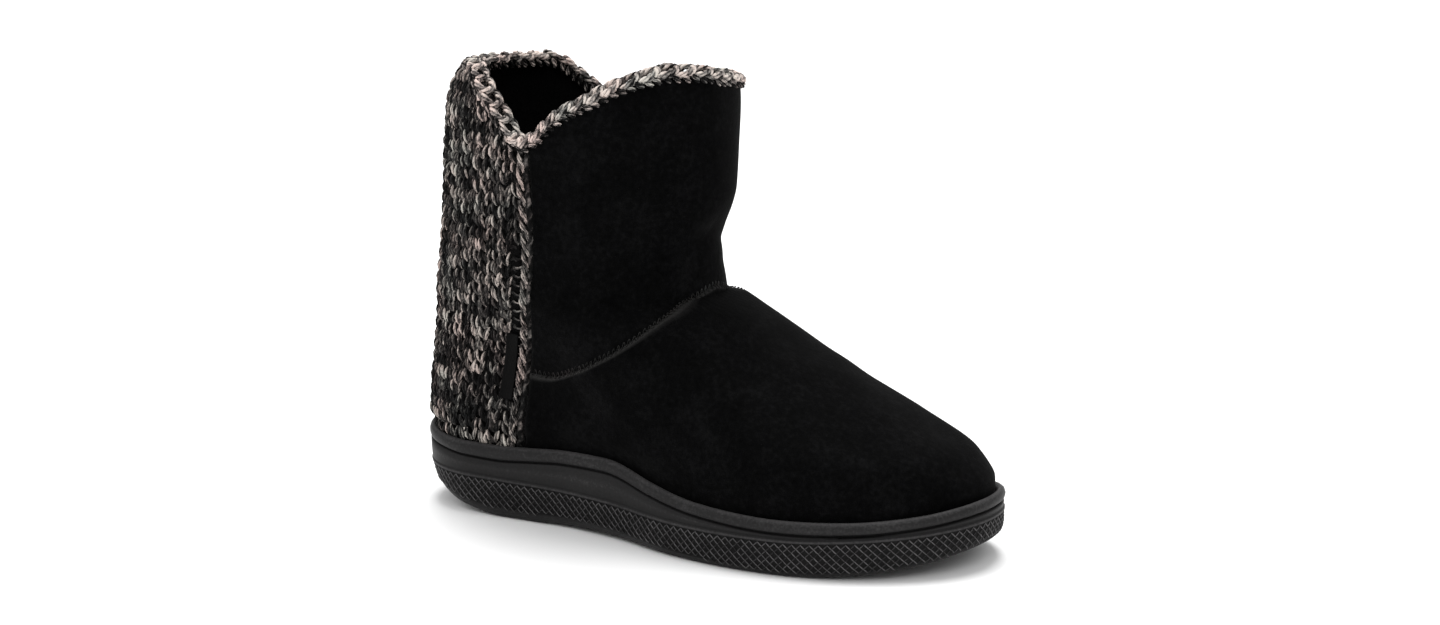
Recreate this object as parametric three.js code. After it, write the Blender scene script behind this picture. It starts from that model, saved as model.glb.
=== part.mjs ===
import { BufferGeometry, Float32BufferAttribute, Group, Mesh, MeshStandardMaterial } from "three";

// Millimetres. The last runs from heel to toe along x, +y is the inner side of a right foot, z is up.
const SOLE_LENGTH = 265;
const BALL_WIDTH = 100;
const HEEL_ROUND = { length: 0.145, power: 2.12 };
const TOE_ROUND = { length: 0.3, power: 2.15 };
const SHAFT_POWER = 2.2;

const GAP = 0.3;
const RIM_WALL = 3.8;
const SEAT_GAP = 0.45;
const RIM_RISE = 9;
const WALL = 3;
const KNIT = 1.4;
const RECESS = KNIT + GAP;
const INSOLE = 4.5;
const SPINE_END = 16;

const VAMP_LIP = 1.3;
const VAMP_FADE = 15;
const STEP_RUN = 0.6;

// Places round the girth, as a share of the half girth from the middle of the heel.
const SEAM = 0.47;
const SEAM_STEP = 0.0015;
const SEAM_GAP = 0.0017;
const BRAID_SHARE = 0.0238;
const BRAID_END = SEAM - SEAM_GAP;
const BRAID_START = BRAID_END - BRAID_SHARE;
const KNIT_END = BRAID_START - SEAM_GAP;
const BRAID_RISE = 1.4;

const TAB = { start: 0.4165, end: 0.4405, low: 53, high: 82, clear: 0.7, thick: 0.8 };

const SOLE_COLUMNS = 64;
const KNIT_COLUMNS = 9;
const BRAID_COLUMNS = 3;
const FRONT_COLUMNS = 18;
const FRONT_EASE = 1.15;
const VAMP_ROWS = 9;
const SHAFT_ROWS = 7;

// Half widths of the sole as a share of half the ball width, and the toe's swing to the inner side.
const OUTLINE = [
  { along: 0.0, lateral: 0.73, medial: 0.74, swing: 0 },
  { along: 0.16, lateral: 0.74, medial: 0.75, swing: 0 },
  { along: 0.3, lateral: 0.72, medial: 0.71, swing: 0 },
  { along: 0.42, lateral: 0.79, medial: 0.67, swing: 0 },
  { along: 0.55, lateral: 0.95, medial: 0.76, swing: 0 },
  { along: 0.67, lateral: 1.0, medial: 0.92, swing: 0.5 },
  { along: 0.78, lateral: 0.99, medial: 1.02, swing: 2.5 },
  { along: 1.0, lateral: 0.96, medial: 1.06, swing: 11 },
];

// Heights of the sole along its length: heel bevel, arch and toe spring below, waist and rim above.
const SOLE = [
  { along: 0.0, floor: 11.2, ridge: 18.3, groove: 29.0, rim: 34.5, bed: 23.0 },
  { along: 0.08, floor: 6.2, ridge: 18.0, groove: 27.3, rim: 33.0, bed: 22.3 },
  { along: 0.135, floor: 2.5, ridge: 17.6, groove: 26.0, rim: 32.3, bed: 22.0 },
  { along: 0.2, floor: 0.0, ridge: 17.3, groove: 25.6, rim: 32.2, bed: 22.0 },
  { along: 0.26, floor: 0.0, ridge: 17.0, groove: 26.8, rim: 33.0, bed: 22.0 },
  { along: 0.33, floor: 1.2, ridge: 16.7, groove: 28.3, rim: 34.3, bed: 22.0 },
  { along: 0.41, floor: 1.6, ridge: 16.4, groove: 28.8, rim: 34.8, bed: 21.5 },
  { along: 0.51, floor: 0.7, ridge: 15.5, groove: 24.0, rim: 29.7, bed: 18.5 },
  { along: 0.6, floor: 0.0, ridge: 14.9, groove: 19.9, rim: 25.3, bed: 15.0 },
  { along: 0.74, floor: 0.0, ridge: 15.2, groove: 17.9, rim: 23.4, bed: 13.8 },
  { along: 0.85, floor: 1.7, ridge: 16.7, groove: 18.9, rim: 24.2, bed: 14.8 },
  { along: 0.94, floor: 5.4, ridge: 18.8, groove: 21.5, rim: 26.5, bed: 17.5 },
  { along: 1.0, floor: 9.9, ridge: 20.8, groove: 24.5, rim: 29.5, bed: 20.0 },
];

// The moulded side from the floor to the cup: each line keeps a level, a rise from it and an inset.
const SOLE_SIDE = [
  { level: "floor", rise: 0, inset: 20 },
  { level: "floor", rise: 0, inset: 4.4 },
  { level: "floor", rise: 0.7, inset: 2.6 },
  { level: "floor", rise: 3, inset: 1.1 },
  { level: "floor", rise: 6, inset: 0.6 },
  { level: "ridge", rise: -0.8, inset: 0.7 },
  { level: "ridge", rise: -0.5, inset: 0.1 },
  { level: "ridge", rise: 0.4, inset: 0.1 },
  { level: "ridge", rise: 0.7, inset: 0.7 },
  { level: "groove", rise: -0.8, inset: 0.5 },
  { level: "groove", rise: -0.3, inset: 1.7 },
  { level: "groove", rise: 0.3, inset: 1.7 },
  { level: "groove", rise: 0.8, inset: 0.3 },
  { level: "rim", rise: -2.6, inset: 0 },
  { level: "rim", rise: -0.8, inset: 0.6 },
  { level: "rim", rise: 0, inset: 1.9 },
  { level: "rim", rise: -0.6, inset: 3.2 },
  { level: "rim", rise: -2, inset: RIM_WALL },
  { level: "bed", rise: 0, inset: RIM_WALL },
  { level: "bed", rise: 0, inset: 20 },
];

const INSOLE_SIDE = [
  { rise: GAP, inset: 20 },
  { rise: GAP, inset: 0 },
  { rise: INSOLE - 1.2, inset: 0 },
  { rise: INSOLE, inset: 1.4 },
  { rise: INSOLE, inset: 20 },
];

// Level sections of the upper: the chord from back to front, half widths, and how foot-like each is.
const SECTIONS = [
  { height: 24, front: 261.5, lean: 0.86, back: 3.5, lateral: 46.0, medial: 46.0, foot: 1.0 },
  { height: 32, front: 261.5, lean: 0.86, back: 2.0, lateral: 46.5, medial: 46.5, foot: 1.0 },
  { height: 43, front: 254.3, lean: 0.82, back: 0.5, lateral: 47.5, medial: 47.0, foot: 1.0 },
  { height: 55, front: 231.3, lean: 0.73, back: 1.5, lateral: 46.5, medial: 46.0, foot: 1.0 },
  { height: 67, front: 206.6, lean: 0.64, back: 3.0, lateral: 45.0, medial: 44.5, foot: 0.9 },
  { height: 80, front: 181.5, lean: 0.55, back: 4.5, lateral: 43.5, medial: 43.0, foot: 0.7 },
  { height: 95, front: 151.8, lean: 0.45, back: 5.8, lateral: 42.5, medial: 42.0, foot: 0.4 },
  { height: 100, front: 137.6, lean: 0.4, back: 6.2, lateral: 42.3, medial: 41.8, foot: 0.29 },
  { height: 108, front: 137.6, lean: 0.31, back: 7.0, lateral: 42.0, medial: 41.5, foot: 0.14 },
  { height: 127, front: 139.0, lean: 0.18, back: 8.6, lateral: 42.0, medial: 41.5, foot: 0.0 },
  { height: 145, front: 145.0, lean: 0.09, back: 10.2, lateral: 43.5, medial: 43.0, foot: 0.0 },
  { height: 165, front: 146.2, lean: 0.0, back: 12.1, lateral: 45.0, medial: 44.5, foot: 0.0 },
  { height: 178, front: 146.5, lean: 0.0, back: 13.9, lateral: 45.0, medial: 44.5, foot: 0.0 },
  { height: 186, front: 146.4, lean: 0.0, back: 16.8, lateral: 44.5, medial: 44.0, foot: 0.0 },
  { height: 192, front: 146.2, lean: 0.0, back: 21.3, lateral: 43.6, medial: 43.1, foot: 0.0 },
  { height: 198, front: 146.0, lean: 0.0, back: 26.5, lateral: 42.5, medial: 42.0, foot: 0.0 },
];

const SIDE_SEAM = [
  { height: 24, x: 64.0 },
  { height: 60, x: 68.5 },
  { height: 90, x: 73.5 },
  { height: 120, x: 77.5 },
  { height: 162, x: 78.5 },
  { height: 198, x: 78.5 },
];

const COLLAR = [
  { share: 0.0, lateral: 193.2, medial: 193.2 },
  { share: 0.226, lateral: 193.0, medial: 192.4 },
  { share: 0.272, lateral: 191.2, medial: 189.6 },
  { share: 0.316, lateral: 187.0, medial: 183.2 },
  { share: 0.374, lateral: 178.0, medial: 174.0 },
  { share: 0.404, lateral: 171.3, medial: 167.7 },
  { share: 0.4275, lateral: 164.2, medial: 161.2 },
  { share: 0.45, lateral: 162.2, medial: 159.8 },
  { share: 0.4733, lateral: 163.5, medial: 161.1 },
  { share: 0.5006, lateral: 167.3, medial: 164.6 },
  { share: 0.5326, lateral: 172.8, medial: 170.0 },
  { share: 0.563, lateral: 176.8, medial: 174.0 },
  { share: 0.605, lateral: 180.4, medial: 177.2 },
  { share: 0.683, lateral: 187.2, medial: 182.0 },
  { share: 0.756, lateral: 191.4, medial: 184.8 },
  { share: 0.805, lateral: 192.8, medial: 186.0 },
  { share: 0.86, lateral: 192.8, medial: 186.8 },
  { share: 0.94, lateral: 191.2, medial: 188.2 },
  { share: 1.0, lateral: 189.6, medial: 189.6 },
];

const INSTEP = [
  { share: 0.0, height: 65.6 },
  { share: 0.5, height: 65.6 },
  { share: 0.55, height: 70.9 },
  { share: 0.6, height: 77.8 },
  { share: 0.655, height: 84.8 },
  { share: 0.718, height: 91.4 },
  { share: 0.775, height: 95.4 },
  { share: 0.83, height: 97.6 },
  { share: 0.89, height: 99.5 },
  { share: 0.955, height: 102.1 },
  { share: 1.0, height: 103.6 },
];

// Section of the collar cord: out from the wall's face, and up from the wall's edge.
const CORD = [
  { out: 1.6, up: GAP },
  { out: 2.1, up: 2.4 },
  { out: 1.2, up: 4.6 },
  { out: -1.3, up: 5.7 },
  { out: -3.8, up: 4.6 },
  { out: -4.7, up: 2.4 },
  { out: -4.2, up: GAP },
];

const COLOURS = {
  outsole: "#2b2b2d",
  insole: "#222226",
  upper: "#18181b",
  knit_back: "#6f665e",
  collar_binding: "#b9ab9b",
  seam_braid_lateral: "#a39687",
  seam_braid_medial: "#a39687",
  side_tab: "#2f2f33",
};

function clamp(value, low, high) {
  return Math.min(Math.max(value, low), high);
}

function mix(from, to, share) {
  return from + (to - from) * share;
}

function steps(from, to, count, ease = 1) {
  return Array.from({ length: count + 1 }, (_, i) => mix(from, to, (i / count) ** ease));
}

function knotSlope(gaps, rises, i) {
  if (i === 0) {
    return rises[0];
  }
  if (i === rises.length) {
    return rises[i - 1];
  }
  const before = rises[i - 1];
  const after = rises[i];
  if (before * after <= 0) {
    return 0;
  }
  const near = 2 * gaps[i] + gaps[i - 1];
  const far = gaps[i] + 2 * gaps[i - 1];
  return (near + far) / (near / before + far / after);
}

// A smooth curve through one column of a table that never overshoots its rows.
function curve(table, key, column) {
  const knots = table.map((row) => row[key]);
  const values = table.map((row) => row[column]);
  const gaps = knots.slice(1).map((knot, i) => knot - knots[i]);
  const rises = gaps.map((gap, i) => (values[i + 1] - values[i]) / gap);
  const slopes = knots.map((_, i) => knotSlope(gaps, rises, i));
  return (at) => {
    const place = clamp(at, knots[0], knots[knots.length - 1]);
    let i = gaps.length - 1;
    while (i > 0 && place < knots[i]) {
      i -= 1;
    }
    const t = (place - knots[i]) / gaps[i];
    const bendIn = t * (1 - t) ** 2 * gaps[i] * slopes[i];
    const bendOut = t * t * (t - 1) * gaps[i] * slopes[i + 1];
    return mix(values[i], values[i + 1], t * t * (3 - 2 * t)) + bendIn + bendOut;
  };
}

function curves(table, key) {
  const columns = Object.keys(table[0]).filter((name) => name !== key);
  return Object.fromEntries(columns.map((name) => [name, curve(table, key, name)]));
}

const outlineAt = curves(OUTLINE, "along");
const soleAt = curves(SOLE, "along");
const sectionAt = curves(SECTIONS, "height");
const seamX = curve(SIDE_SEAM, "height", "x");
const collarAt = curves(COLLAR, "share");
const instepAt = curve(INSTEP, "share", "height");

function roundEnd(into, power) {
  return (1 - clamp(into, 0, 1) ** power) ** (1 / power);
}

function alongOf(angle) {
  return (1 - Math.cos(angle)) / 2;
}

function isLateral(angle) {
  return Math.sin(angle) >= 0;
}

// Half width of the foot's outline, as a share of half the ball width.
function footWidth(along, lateral) {
  const body = lateral ? outlineAt.lateral(along) : outlineAt.medial(along);
  const heel = roundEnd(1 - along / HEEL_ROUND.length, HEEL_ROUND.power);
  const toe = roundEnd((along - 1 + TOE_ROUND.length) / TOE_ROUND.length, TOE_ROUND.power);
  return body * heel * toe;
}

function outlinePoint(angle) {
  const along = alongOf(angle);
  const lateral = isLateral(angle);
  const half = (footWidth(along, lateral) * BALL_WIDTH) / 2;
  return [along * SOLE_LENGTH, outlineAt.swing(along) + (lateral ? -half : half)];
}

// The sole's outline moved inwards: angle 0 is the heel, the outer side comes first, then the toe.
function outlineInset(angle, inset) {
  const [x, y] = outlinePoint(angle);
  const before = outlinePoint(angle - 0.01);
  const after = outlinePoint(angle + 0.01);
  const run = [after[0] - before[0], after[1] - before[1]];
  const length = Math.hypot(...run);
  return [x - (run[1] / length) * inset, y + (run[0] / length) * inset];
}

function spinePoint(angle) {
  const along = alongOf(angle);
  return [mix(SPINE_END, SOLE_LENGTH - SPINE_END, along), outlineAt.swing(along) * 0.8];
}

function sectionPoint(angle, height) {
  const along = alongOf(angle);
  const lateral = isLateral(angle);
  const oval = (1 - Math.abs(2 * along - 1) ** SHAFT_POWER) ** (1 / SHAFT_POWER);
  const shape = mix(oval, footWidth(along, lateral), sectionAt.foot(height));
  const half = shape * (lateral ? sectionAt.lateral(height) : sectionAt.medial(height));
  const x = mix(sectionAt.back(height), sectionAt.front(height), along);
  return [x, outlineAt.swing(along) * sectionAt.lean(height) + (lateral ? -half : half)];
}

// Angle round a section for a girth share: 0 at the heel, the side seam at SEAM, 1 at the front.
function girthAngle(girth, height) {
  const share = Math.abs(girth);
  const back = sectionAt.back(height);
  const seam = Math.acos(1 - (2 * (seamX(height) - back)) / (sectionAt.front(height) - back));
  const ahead = (share - SEAM) / (1 - SEAM);
  const angle = share <= SEAM ? (seam * share) / SEAM : mix(seam, Math.PI, ahead);
  return girth < 0 ? -angle : angle;
}

// The outer face of the upper: inside the cup it follows the sole, above the rim its own sections.
function facePoint(girth, height) {
  const angle = girthAngle(girth, height);
  const over = clamp((height - soleAt.rim(alongOf(angle))) / RIM_RISE, 0, 1);
  const free = over * over * (3 - 2 * over);
  const seat = outlineInset(angle, RIM_WALL + SEAT_GAP);
  const section = sectionPoint(angle, height);
  return [mix(seat[0], section[0], free), mix(seat[1], section[1], free), height];
}

function wrapGirth(girth) {
  return girth > 1 ? girth - 2 : girth;
}

function subtract(a, b) {
  return a.map((value, i) => value - b[i]);
}

function move(point, direction, distance) {
  return point.map((value, i) => value + direction[i] * distance);
}

function cross(a, b) {
  return [a[1] * b[2] - a[2] * b[1], a[2] * b[0] - a[0] * b[2], a[0] * b[1] - a[1] * b[0]];
}

function unit(vector) {
  const length = Math.hypot(...vector);
  return vector.map((value) => value / length);
}

function faceNormal(girth, height) {
  const round = subtract(facePoint(wrapGirth(girth + 0.004), height), facePoint(girth - 0.004, height));
  const upward = subtract(facePoint(girth, height + 0.5), facePoint(girth, height - 0.5));
  return unit(cross(round, upward));
}

function faceOffset(girth, height, out) {
  return move(facePoint(girth, height), faceNormal(girth, height), out);
}

function collarHeight(girth) {
  const side = girth < 0 ? collarAt.medial : collarAt.lateral;
  return side(Math.abs(girth));
}

function instepHeight(girth) {
  return instepAt(Math.abs(girth));
}

function rimHeight(girth) {
  return soleAt.rim(alongOf(girthAngle(girth, 30)));
}

function seatHeight(girth) {
  return soleAt.bed(alongOf(girthAngle(girth, 24))) + GAP;
}

const KNIT_SHARES = steps(0, KNIT_END, KNIT_COLUMNS - 1);
const BRAID_SHARES = steps(BRAID_START, BRAID_END, BRAID_COLUMNS);
const FRONT_SHARES = steps(SEAM + SEAM_STEP, 1, FRONT_COLUMNS, FRONT_EASE);
const HALF_SHARES = [...KNIT_SHARES, ...BRAID_SHARES, SEAM, ...FRONT_SHARES];
const ROUND = [...HALF_SHARES, ...HALF_SHARES.slice(1, -1).reverse().map((share) => -share)];

function seatRows(girth) {
  const rim = rimHeight(girth);
  return [seatHeight(girth), rim, rim + RIM_RISE / 3, rim + (2 * RIM_RISE) / 3, rim + RIM_RISE];
}

function vampRows(girth) {
  return steps(rimHeight(girth) + RIM_RISE, instepHeight(girth) - STEP_RUN / 2, VAMP_ROWS).slice(1);
}

function shaftRows(girth) {
  return steps(instepHeight(girth) + STEP_RUN / 2, collarHeight(girth), SHAFT_ROWS);
}

// Every row of the upper at one place round the girth, from its seat in the cup to the collar.
function wallRows(girth) {
  return [...seatRows(girth), ...vampRows(girth), ...shaftRows(girth)];
}

// The toe part laps over the shaft as a lip along the instep; the knit lies in a recess behind.
function wallFace(girth, height) {
  if (Math.abs(girth) <= SEAM) {
    return -RECESS;
  }
  const below = instepHeight(girth) - height;
  return below < 0 ? 0 : VAMP_LIP * clamp(1 - below / VAMP_FADE, 0, 1) ** 2;
}

// Closed loops joined row by row; from the turned column on, the diagonals lean the other way.
function skin(loops, joined, turned = Infinity) {
  const points = loops.flat();
  const count = loops[0].length;
  const faces = [];
  const bands = joined ? loops.length : loops.length - 1;
  for (let row = 0; row < bands; row += 1) {
    const low = row * count;
    const high = ((row + 1) % loops.length) * count;
    for (let column = 0; column < count; column += 1) {
      const next = (column + 1) % count;
      const corners = [low + column, low + next, high + next, high + column];
      const [a, b, c, d] = column < turned ? corners : [...corners.slice(1), corners[0]];
      faces.push([a, b, c], [a, c, d]);
    }
  }
  return { points, faces };
}

// A sheet with two faces: rows run upwards, and each row goes out along one face and back along the other.
function sheet(columns, rowsAt, outAt, inAt) {
  const heights = columns.map((girth) => rowsAt(girth));
  const outer = heights[0].map((_, row) =>
    columns.map((girth, i) => faceOffset(girth, heights[i][row], outAt(girth, heights[i][row]))));
  const inner = heights[0].map((_, row) =>
    columns.map((girth, i) => faceOffset(girth, heights[i][row], inAt(girth, heights[i][row]))));
  const width = columns.length;
  const loops = outer.map((loop, row) => [...loop, ...inner[row].slice().reverse()]);
  const { points, faces } = skin(loops, false, width);
  const top = (heights[0].length - 1) * 2 * width;
  for (let column = 0; column < width - 1; column += 1) {
    const back = 2 * width - 1 - column;
    faces.push([column + 1, column, back], [column + 1, back, back - 1]);
    faces.push([top + column, top + column + 1, top + back - 1], [top + column, top + back - 1, top + back]);
  }
  return { points, faces };
}

function outsole() {
  const angles = steps(0, 2 * Math.PI, SOLE_COLUMNS).slice(0, -1);
  const loops = SOLE_SIDE.map(({ level, rise, inset }) =>
    angles.map((angle) => [...outlineInset(angle, inset), soleAt[level](alongOf(angle)) + rise]));
  const under = angles.map((angle) => [...spinePoint(angle), soleAt.floor(alongOf(angle))]);
  const bed = angles.map((angle) => [...spinePoint(angle), soleAt.bed(alongOf(angle))]);
  loops[0] = under;
  loops[loops.length - 1] = bed;
  return skin(loops, false);
}

function insole() {
  const angles = ROUND.map((girth) => girthAngle(girth, 24));
  const edge = RIM_WALL + SEAT_GAP + WALL + GAP;
  const loops = INSOLE_SIDE.map(({ rise, inset }) =>
    angles.map((angle) => [...outlineInset(angle, edge + inset), soleAt.bed(alongOf(angle)) + rise]));
  loops[0] = angles.map((angle) => [...spinePoint(angle), soleAt.bed(alongOf(angle)) + GAP]);
  loops[loops.length - 1] = angles.map((angle) => [...spinePoint(angle), soleAt.bed(alongOf(angle)) + INSOLE]);
  return skin(loops, false);
}

function upper() {
  const heights = ROUND.map((girth) => wallRows(girth));
  const lapRow = heights[0].length - SHAFT_ROWS - 1;
  const rows = heights[0].map((_, row) => row);
  const outer = rows.map((row) =>
    ROUND.map((girth, i) => faceOffset(girth, heights[i][row], wallFace(girth, heights[i][row]))));
  const inner = rows.filter((row) => row !== lapRow).reverse().map((row) =>
    ROUND.map((girth, i) => faceOffset(girth, heights[i][row], -WALL)));
  return skin([...outer, ...inner], true);
}

function knitBack() {
  const columns = [...KNIT_SHARES.slice(1).reverse().map((share) => -share), ...KNIT_SHARES];
  return sheet(columns, wallRows, () => 0, () => -KNIT);
}

function seamBraid(side) {
  const columns = BRAID_SHARES.map((share) => share * side).sort((a, b) => a - b);
  const proud = (girth, height) => {
    const across = (Math.abs(girth) - BRAID_START) / BRAID_SHARE;
    const clear = clamp((height - rimHeight(girth) - 1) / 4, 0, 1);
    return BRAID_RISE * clear * (0.5 + 0.5 * Math.sin(Math.PI * across));
  };
  return sheet(columns, wallRows, proud, () => -KNIT);
}

function sideTab() {
  const rows = () => steps(TAB.low, TAB.high, 4);
  return sheet(steps(TAB.start, TAB.end, 3), rows, () => TAB.clear + TAB.thick, () => TAB.clear);
}

function collarBinding() {
  const edge = ROUND.map((girth) => facePoint(girth, collarHeight(girth)));
  const normals = ROUND.map((girth) => faceNormal(girth, collarHeight(girth)));
  const runs = ROUND.map((girth) => {
    const ahead = wrapGirth(girth + 0.003);
    const behind = girth - 0.003;
    const before = facePoint(behind, collarHeight(behind));
    return unit(subtract(facePoint(ahead, collarHeight(ahead)), before));
  });
  const loops = CORD.map(({ out, up }) =>
    edge.map((point, i) => move(move(point, normals[i], out), unit(cross(normals[i], runs[i])), up)));
  return skin(loops, true);
}

const outlineSides = steps(0, 2 * Math.PI, 360).map((angle) => outlinePoint(angle)[1]);
const MIDDLE = [SOLE_LENGTH / 2, (Math.min(...outlineSides) + Math.max(...outlineSides)) / 2, 0];

function solid(name, { points, faces }) {
  const geometry = new BufferGeometry();
  const placed = points.map((point) => subtract(point, MIDDLE));
  geometry.setAttribute("position", new Float32BufferAttribute(placed.flat(), 3));
  geometry.setIndex(faces.flat());
  geometry.computeVertexNormals();
  const material = new MeshStandardMaterial({ color: COLOURS[name], roughness: 0.85 });
  const mesh = new Mesh(geometry, material);
  mesh.name = name;
  return mesh;
}

const slipper = new Group();
slipper.name = "slipper_boot";
slipper.add(solid("outsole", outsole()));
slipper.add(solid("insole", insole()));
slipper.add(solid("upper", upper()));
slipper.add(solid("knit_back", knitBack()));
slipper.add(solid("seam_braid_lateral", seamBraid(1)));
slipper.add(solid("seam_braid_medial", seamBraid(-1)));
slipper.add(solid("collar_binding", collarBinding()));
slipper.add(solid("side_tab", sideTab()));

export default slipper;
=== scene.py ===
import math

import bpy
import numpy as np
from bpy.props import FloatProperty, FloatVectorProperty, IntProperty, PointerProperty
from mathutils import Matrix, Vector


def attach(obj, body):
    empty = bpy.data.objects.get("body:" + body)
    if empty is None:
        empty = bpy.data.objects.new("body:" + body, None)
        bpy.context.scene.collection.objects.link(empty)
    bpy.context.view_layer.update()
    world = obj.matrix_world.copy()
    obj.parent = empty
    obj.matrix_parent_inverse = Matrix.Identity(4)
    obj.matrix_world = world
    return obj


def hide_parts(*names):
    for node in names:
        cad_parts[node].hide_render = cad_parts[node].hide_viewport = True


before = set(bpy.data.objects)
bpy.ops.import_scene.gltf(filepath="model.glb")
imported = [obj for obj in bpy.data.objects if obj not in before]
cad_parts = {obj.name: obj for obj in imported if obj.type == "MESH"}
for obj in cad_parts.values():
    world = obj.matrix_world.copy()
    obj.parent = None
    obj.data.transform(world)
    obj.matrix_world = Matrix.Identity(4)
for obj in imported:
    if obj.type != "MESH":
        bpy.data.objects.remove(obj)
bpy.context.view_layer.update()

bl_info = {
    "name": "Slipper boot looks",
    "version": (1, 0, 0),
    "blender": (4, 5, 0),
    "location": "3D View > Sidebar > Slipper boot",
    "description": "Suede, marl knit, crocheted trim and moulded rubber for a slipper boot",
    "category": "Object",
}

MM = 0.001


def table(columns, *rows):
    """A short table of named columns."""
    return dict(zip(columns.split(), np.array(rows, float).T))


# The last, in millimetres from the back of the heel: x to the toe, +y to the inner side, z up.
SOLE_LENGTH = 265.0
BALL_WIDTH = 100.0
HEEL_LENGTH, HEEL_POWER = 0.145, 2.12
TOE_LENGTH, TOE_POWER = 0.3, 2.15
SHAFT_POWER = 2.2
RIM_WALL = 3.8
SEAT_GAP = 0.45
RIM_RISE = 9.0
WALL = 3.0
INSOLE = 4.5
BED_GAP = 0.3
SPINE_END, SPINE_SWING = 16.0, 0.8
# Heights at which a girth share is read for the rim and for the seat in the cup.
RIM_LEVEL, SEAT_LEVEL = 30.0, 24.0

# The toe part's lip over the shaft, how far it fades, and how far the shaft runs on beneath it.
VAMP_LIP, VAMP_FADE, SHAFT_LAP = 1.3, 15.0, 5.0
ZIGZAG_PITCH, ZIGZAG_RADIUS = 2.6, 0.24
LINING_BACK = -1.85
FOOTBED_COLUMNS = 240

# Girth shares of the side seam, the knit's end, the ladder and the tab, with heights of the last two.
SEAM, SEAM_STEP = 0.47, 0.0015
KNIT_END = 0.4428
LADDER_START, LADDER_FOOT, LADDER_TOP = 0.428, 50.0, 120.0
TAB_START, TAB_END, TAB_LOW, TAB_HIGH = 0.4165, 0.4405, 53.0, 82.0
TAB_THICKNESS = 0.75

# The knit: its lowest row and height, a rib's two wales and furrow as shares of a rib, and its reverse.
KNIT_FOOT, KNIT_RISE = 30.0, 168
RIB_WALES = 0.21, 0.61
FURROW, FURROW_WIDTH = 0.91, 0.18
KNIT_LAST = 0.0105
KNIT_REVERSE = -1.35, -1.75

OUTLINE = table(
    "along lateral medial swing",
    (0.00, 0.73, 0.74, 0.0),
    (0.16, 0.74, 0.75, 0.0),
    (0.30, 0.72, 0.71, 0.0),
    (0.42, 0.79, 0.67, 0.0),
    (0.55, 0.95, 0.76, 0.0),
    (0.67, 1.00, 0.92, 0.5),
    (0.78, 0.99, 1.02, 2.5),
    (1.00, 0.96, 1.06, 11.0),
)
SOLE = table(
    "along floor ridge groove rim bed",
    (0.00, 11.2, 18.3, 29.0, 34.5, 23.0),
    (0.08, 6.2, 18.0, 27.3, 33.0, 22.3),
    (0.135, 2.5, 17.6, 26.0, 32.3, 22.0),
    (0.2, 0.0, 17.3, 25.6, 32.2, 22.0),
    (0.26, 0.0, 17.0, 26.8, 33.0, 22.0),
    (0.33, 1.2, 16.7, 28.3, 34.3, 22.0),
    (0.41, 1.6, 16.4, 28.8, 34.8, 21.5),
    (0.51, 0.7, 15.5, 24.0, 29.7, 18.5),
    (0.60, 0.0, 14.9, 19.9, 25.3, 15.0),
    (0.74, 0.0, 15.2, 17.9, 23.4, 13.8),
    (0.85, 1.7, 16.7, 18.9, 24.2, 14.8),
    (0.94, 5.4, 18.8, 21.5, 26.5, 17.5),
    (1.00, 9.9, 20.8, 24.5, 29.5, 20.0),
)
SECTIONS = table(
    "height front lean back lateral medial foot",
    (24, 261.5, 0.86, 3.5, 46.0, 46.0, 1.0),
    (32, 261.5, 0.86, 2.0, 46.5, 46.5, 1.0),
    (43, 254.3, 0.82, 0.5, 47.5, 47.0, 1.0),
    (55, 231.3, 0.73, 1.5, 46.5, 46.0, 1.0),
    (67, 206.6, 0.64, 3.0, 45.0, 44.5, 0.9),
    (80, 181.5, 0.55, 4.5, 43.5, 43.0, 0.7),
    (95, 151.8, 0.45, 5.8, 42.5, 42.0, 0.4),
    (100, 137.6, 0.4, 6.2, 42.3, 41.8, 0.29),
    (108, 137.6, 0.31, 7.0, 42.0, 41.5, 0.14),
    (127, 139.0, 0.18, 8.6, 42.0, 41.5, 0.0),
    (145, 145.0, 0.09, 10.2, 43.5, 43.0, 0.0),
    (165, 146.2, 0.0, 12.1, 45.0, 44.5, 0.0),
    (178, 146.5, 0.0, 13.9, 45.0, 44.5, 0.0),
    (186, 146.4, 0.0, 16.8, 44.5, 44.0, 0.0),
    (192, 146.2, 0.0, 21.3, 43.6, 43.1, 0.0),
    (198, 146.0, 0.0, 26.5, 42.5, 42.0, 0.0),
)
SIDE_SEAM = table(
    "height x",
    (24, 64.0),
    (60, 68.5),
    (90, 73.5),
    (120, 77.5),
    (162, 78.5),
    (198, 78.5),
)
COLLAR = table(
    "share lateral medial",
    (0.0, 193.2, 193.2),
    (0.226, 193.0, 192.4),
    (0.272, 191.2, 189.6),
    (0.316, 187.0, 183.2),
    (0.374, 178.0, 174.0),
    (0.404, 171.3, 167.7),
    (0.4275, 164.2, 161.2),
    (0.45, 162.2, 159.8),
    (0.4733, 163.5, 161.1),
    (0.5006, 167.3, 164.6),
    (0.5326, 172.8, 170.0),
    (0.563, 176.8, 174.0),
    (0.605, 180.4, 177.2),
    (0.683, 187.2, 182.0),
    (0.756, 191.4, 184.8),
    (0.805, 192.8, 186.0),
    (0.86, 192.8, 186.8),
    (0.94, 191.2, 188.2),
    (1.0, 189.6, 189.6),
)
INSTEP = table(
    "share height",
    (0.0, 65.6),
    (0.5, 65.6),
    (0.55, 70.9),
    (0.6, 77.8),
    (0.655, 84.8),
    (0.718, 91.4),
    (0.775, 95.4),
    (0.83, 97.6),
    (0.89, 99.5),
    (0.955, 102.1),
    (1.0, 103.6),
)

# The light chain of the side seam: its girth share at each height.
CHAIN = table(
    "height share",
    (30, 0.4475),
    (62, 0.4520),
    (93, 0.4585),
    (110, 0.4585),
    (130, 0.4540),
    (150, 0.4505),
    (162, 0.4580),
)

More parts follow.
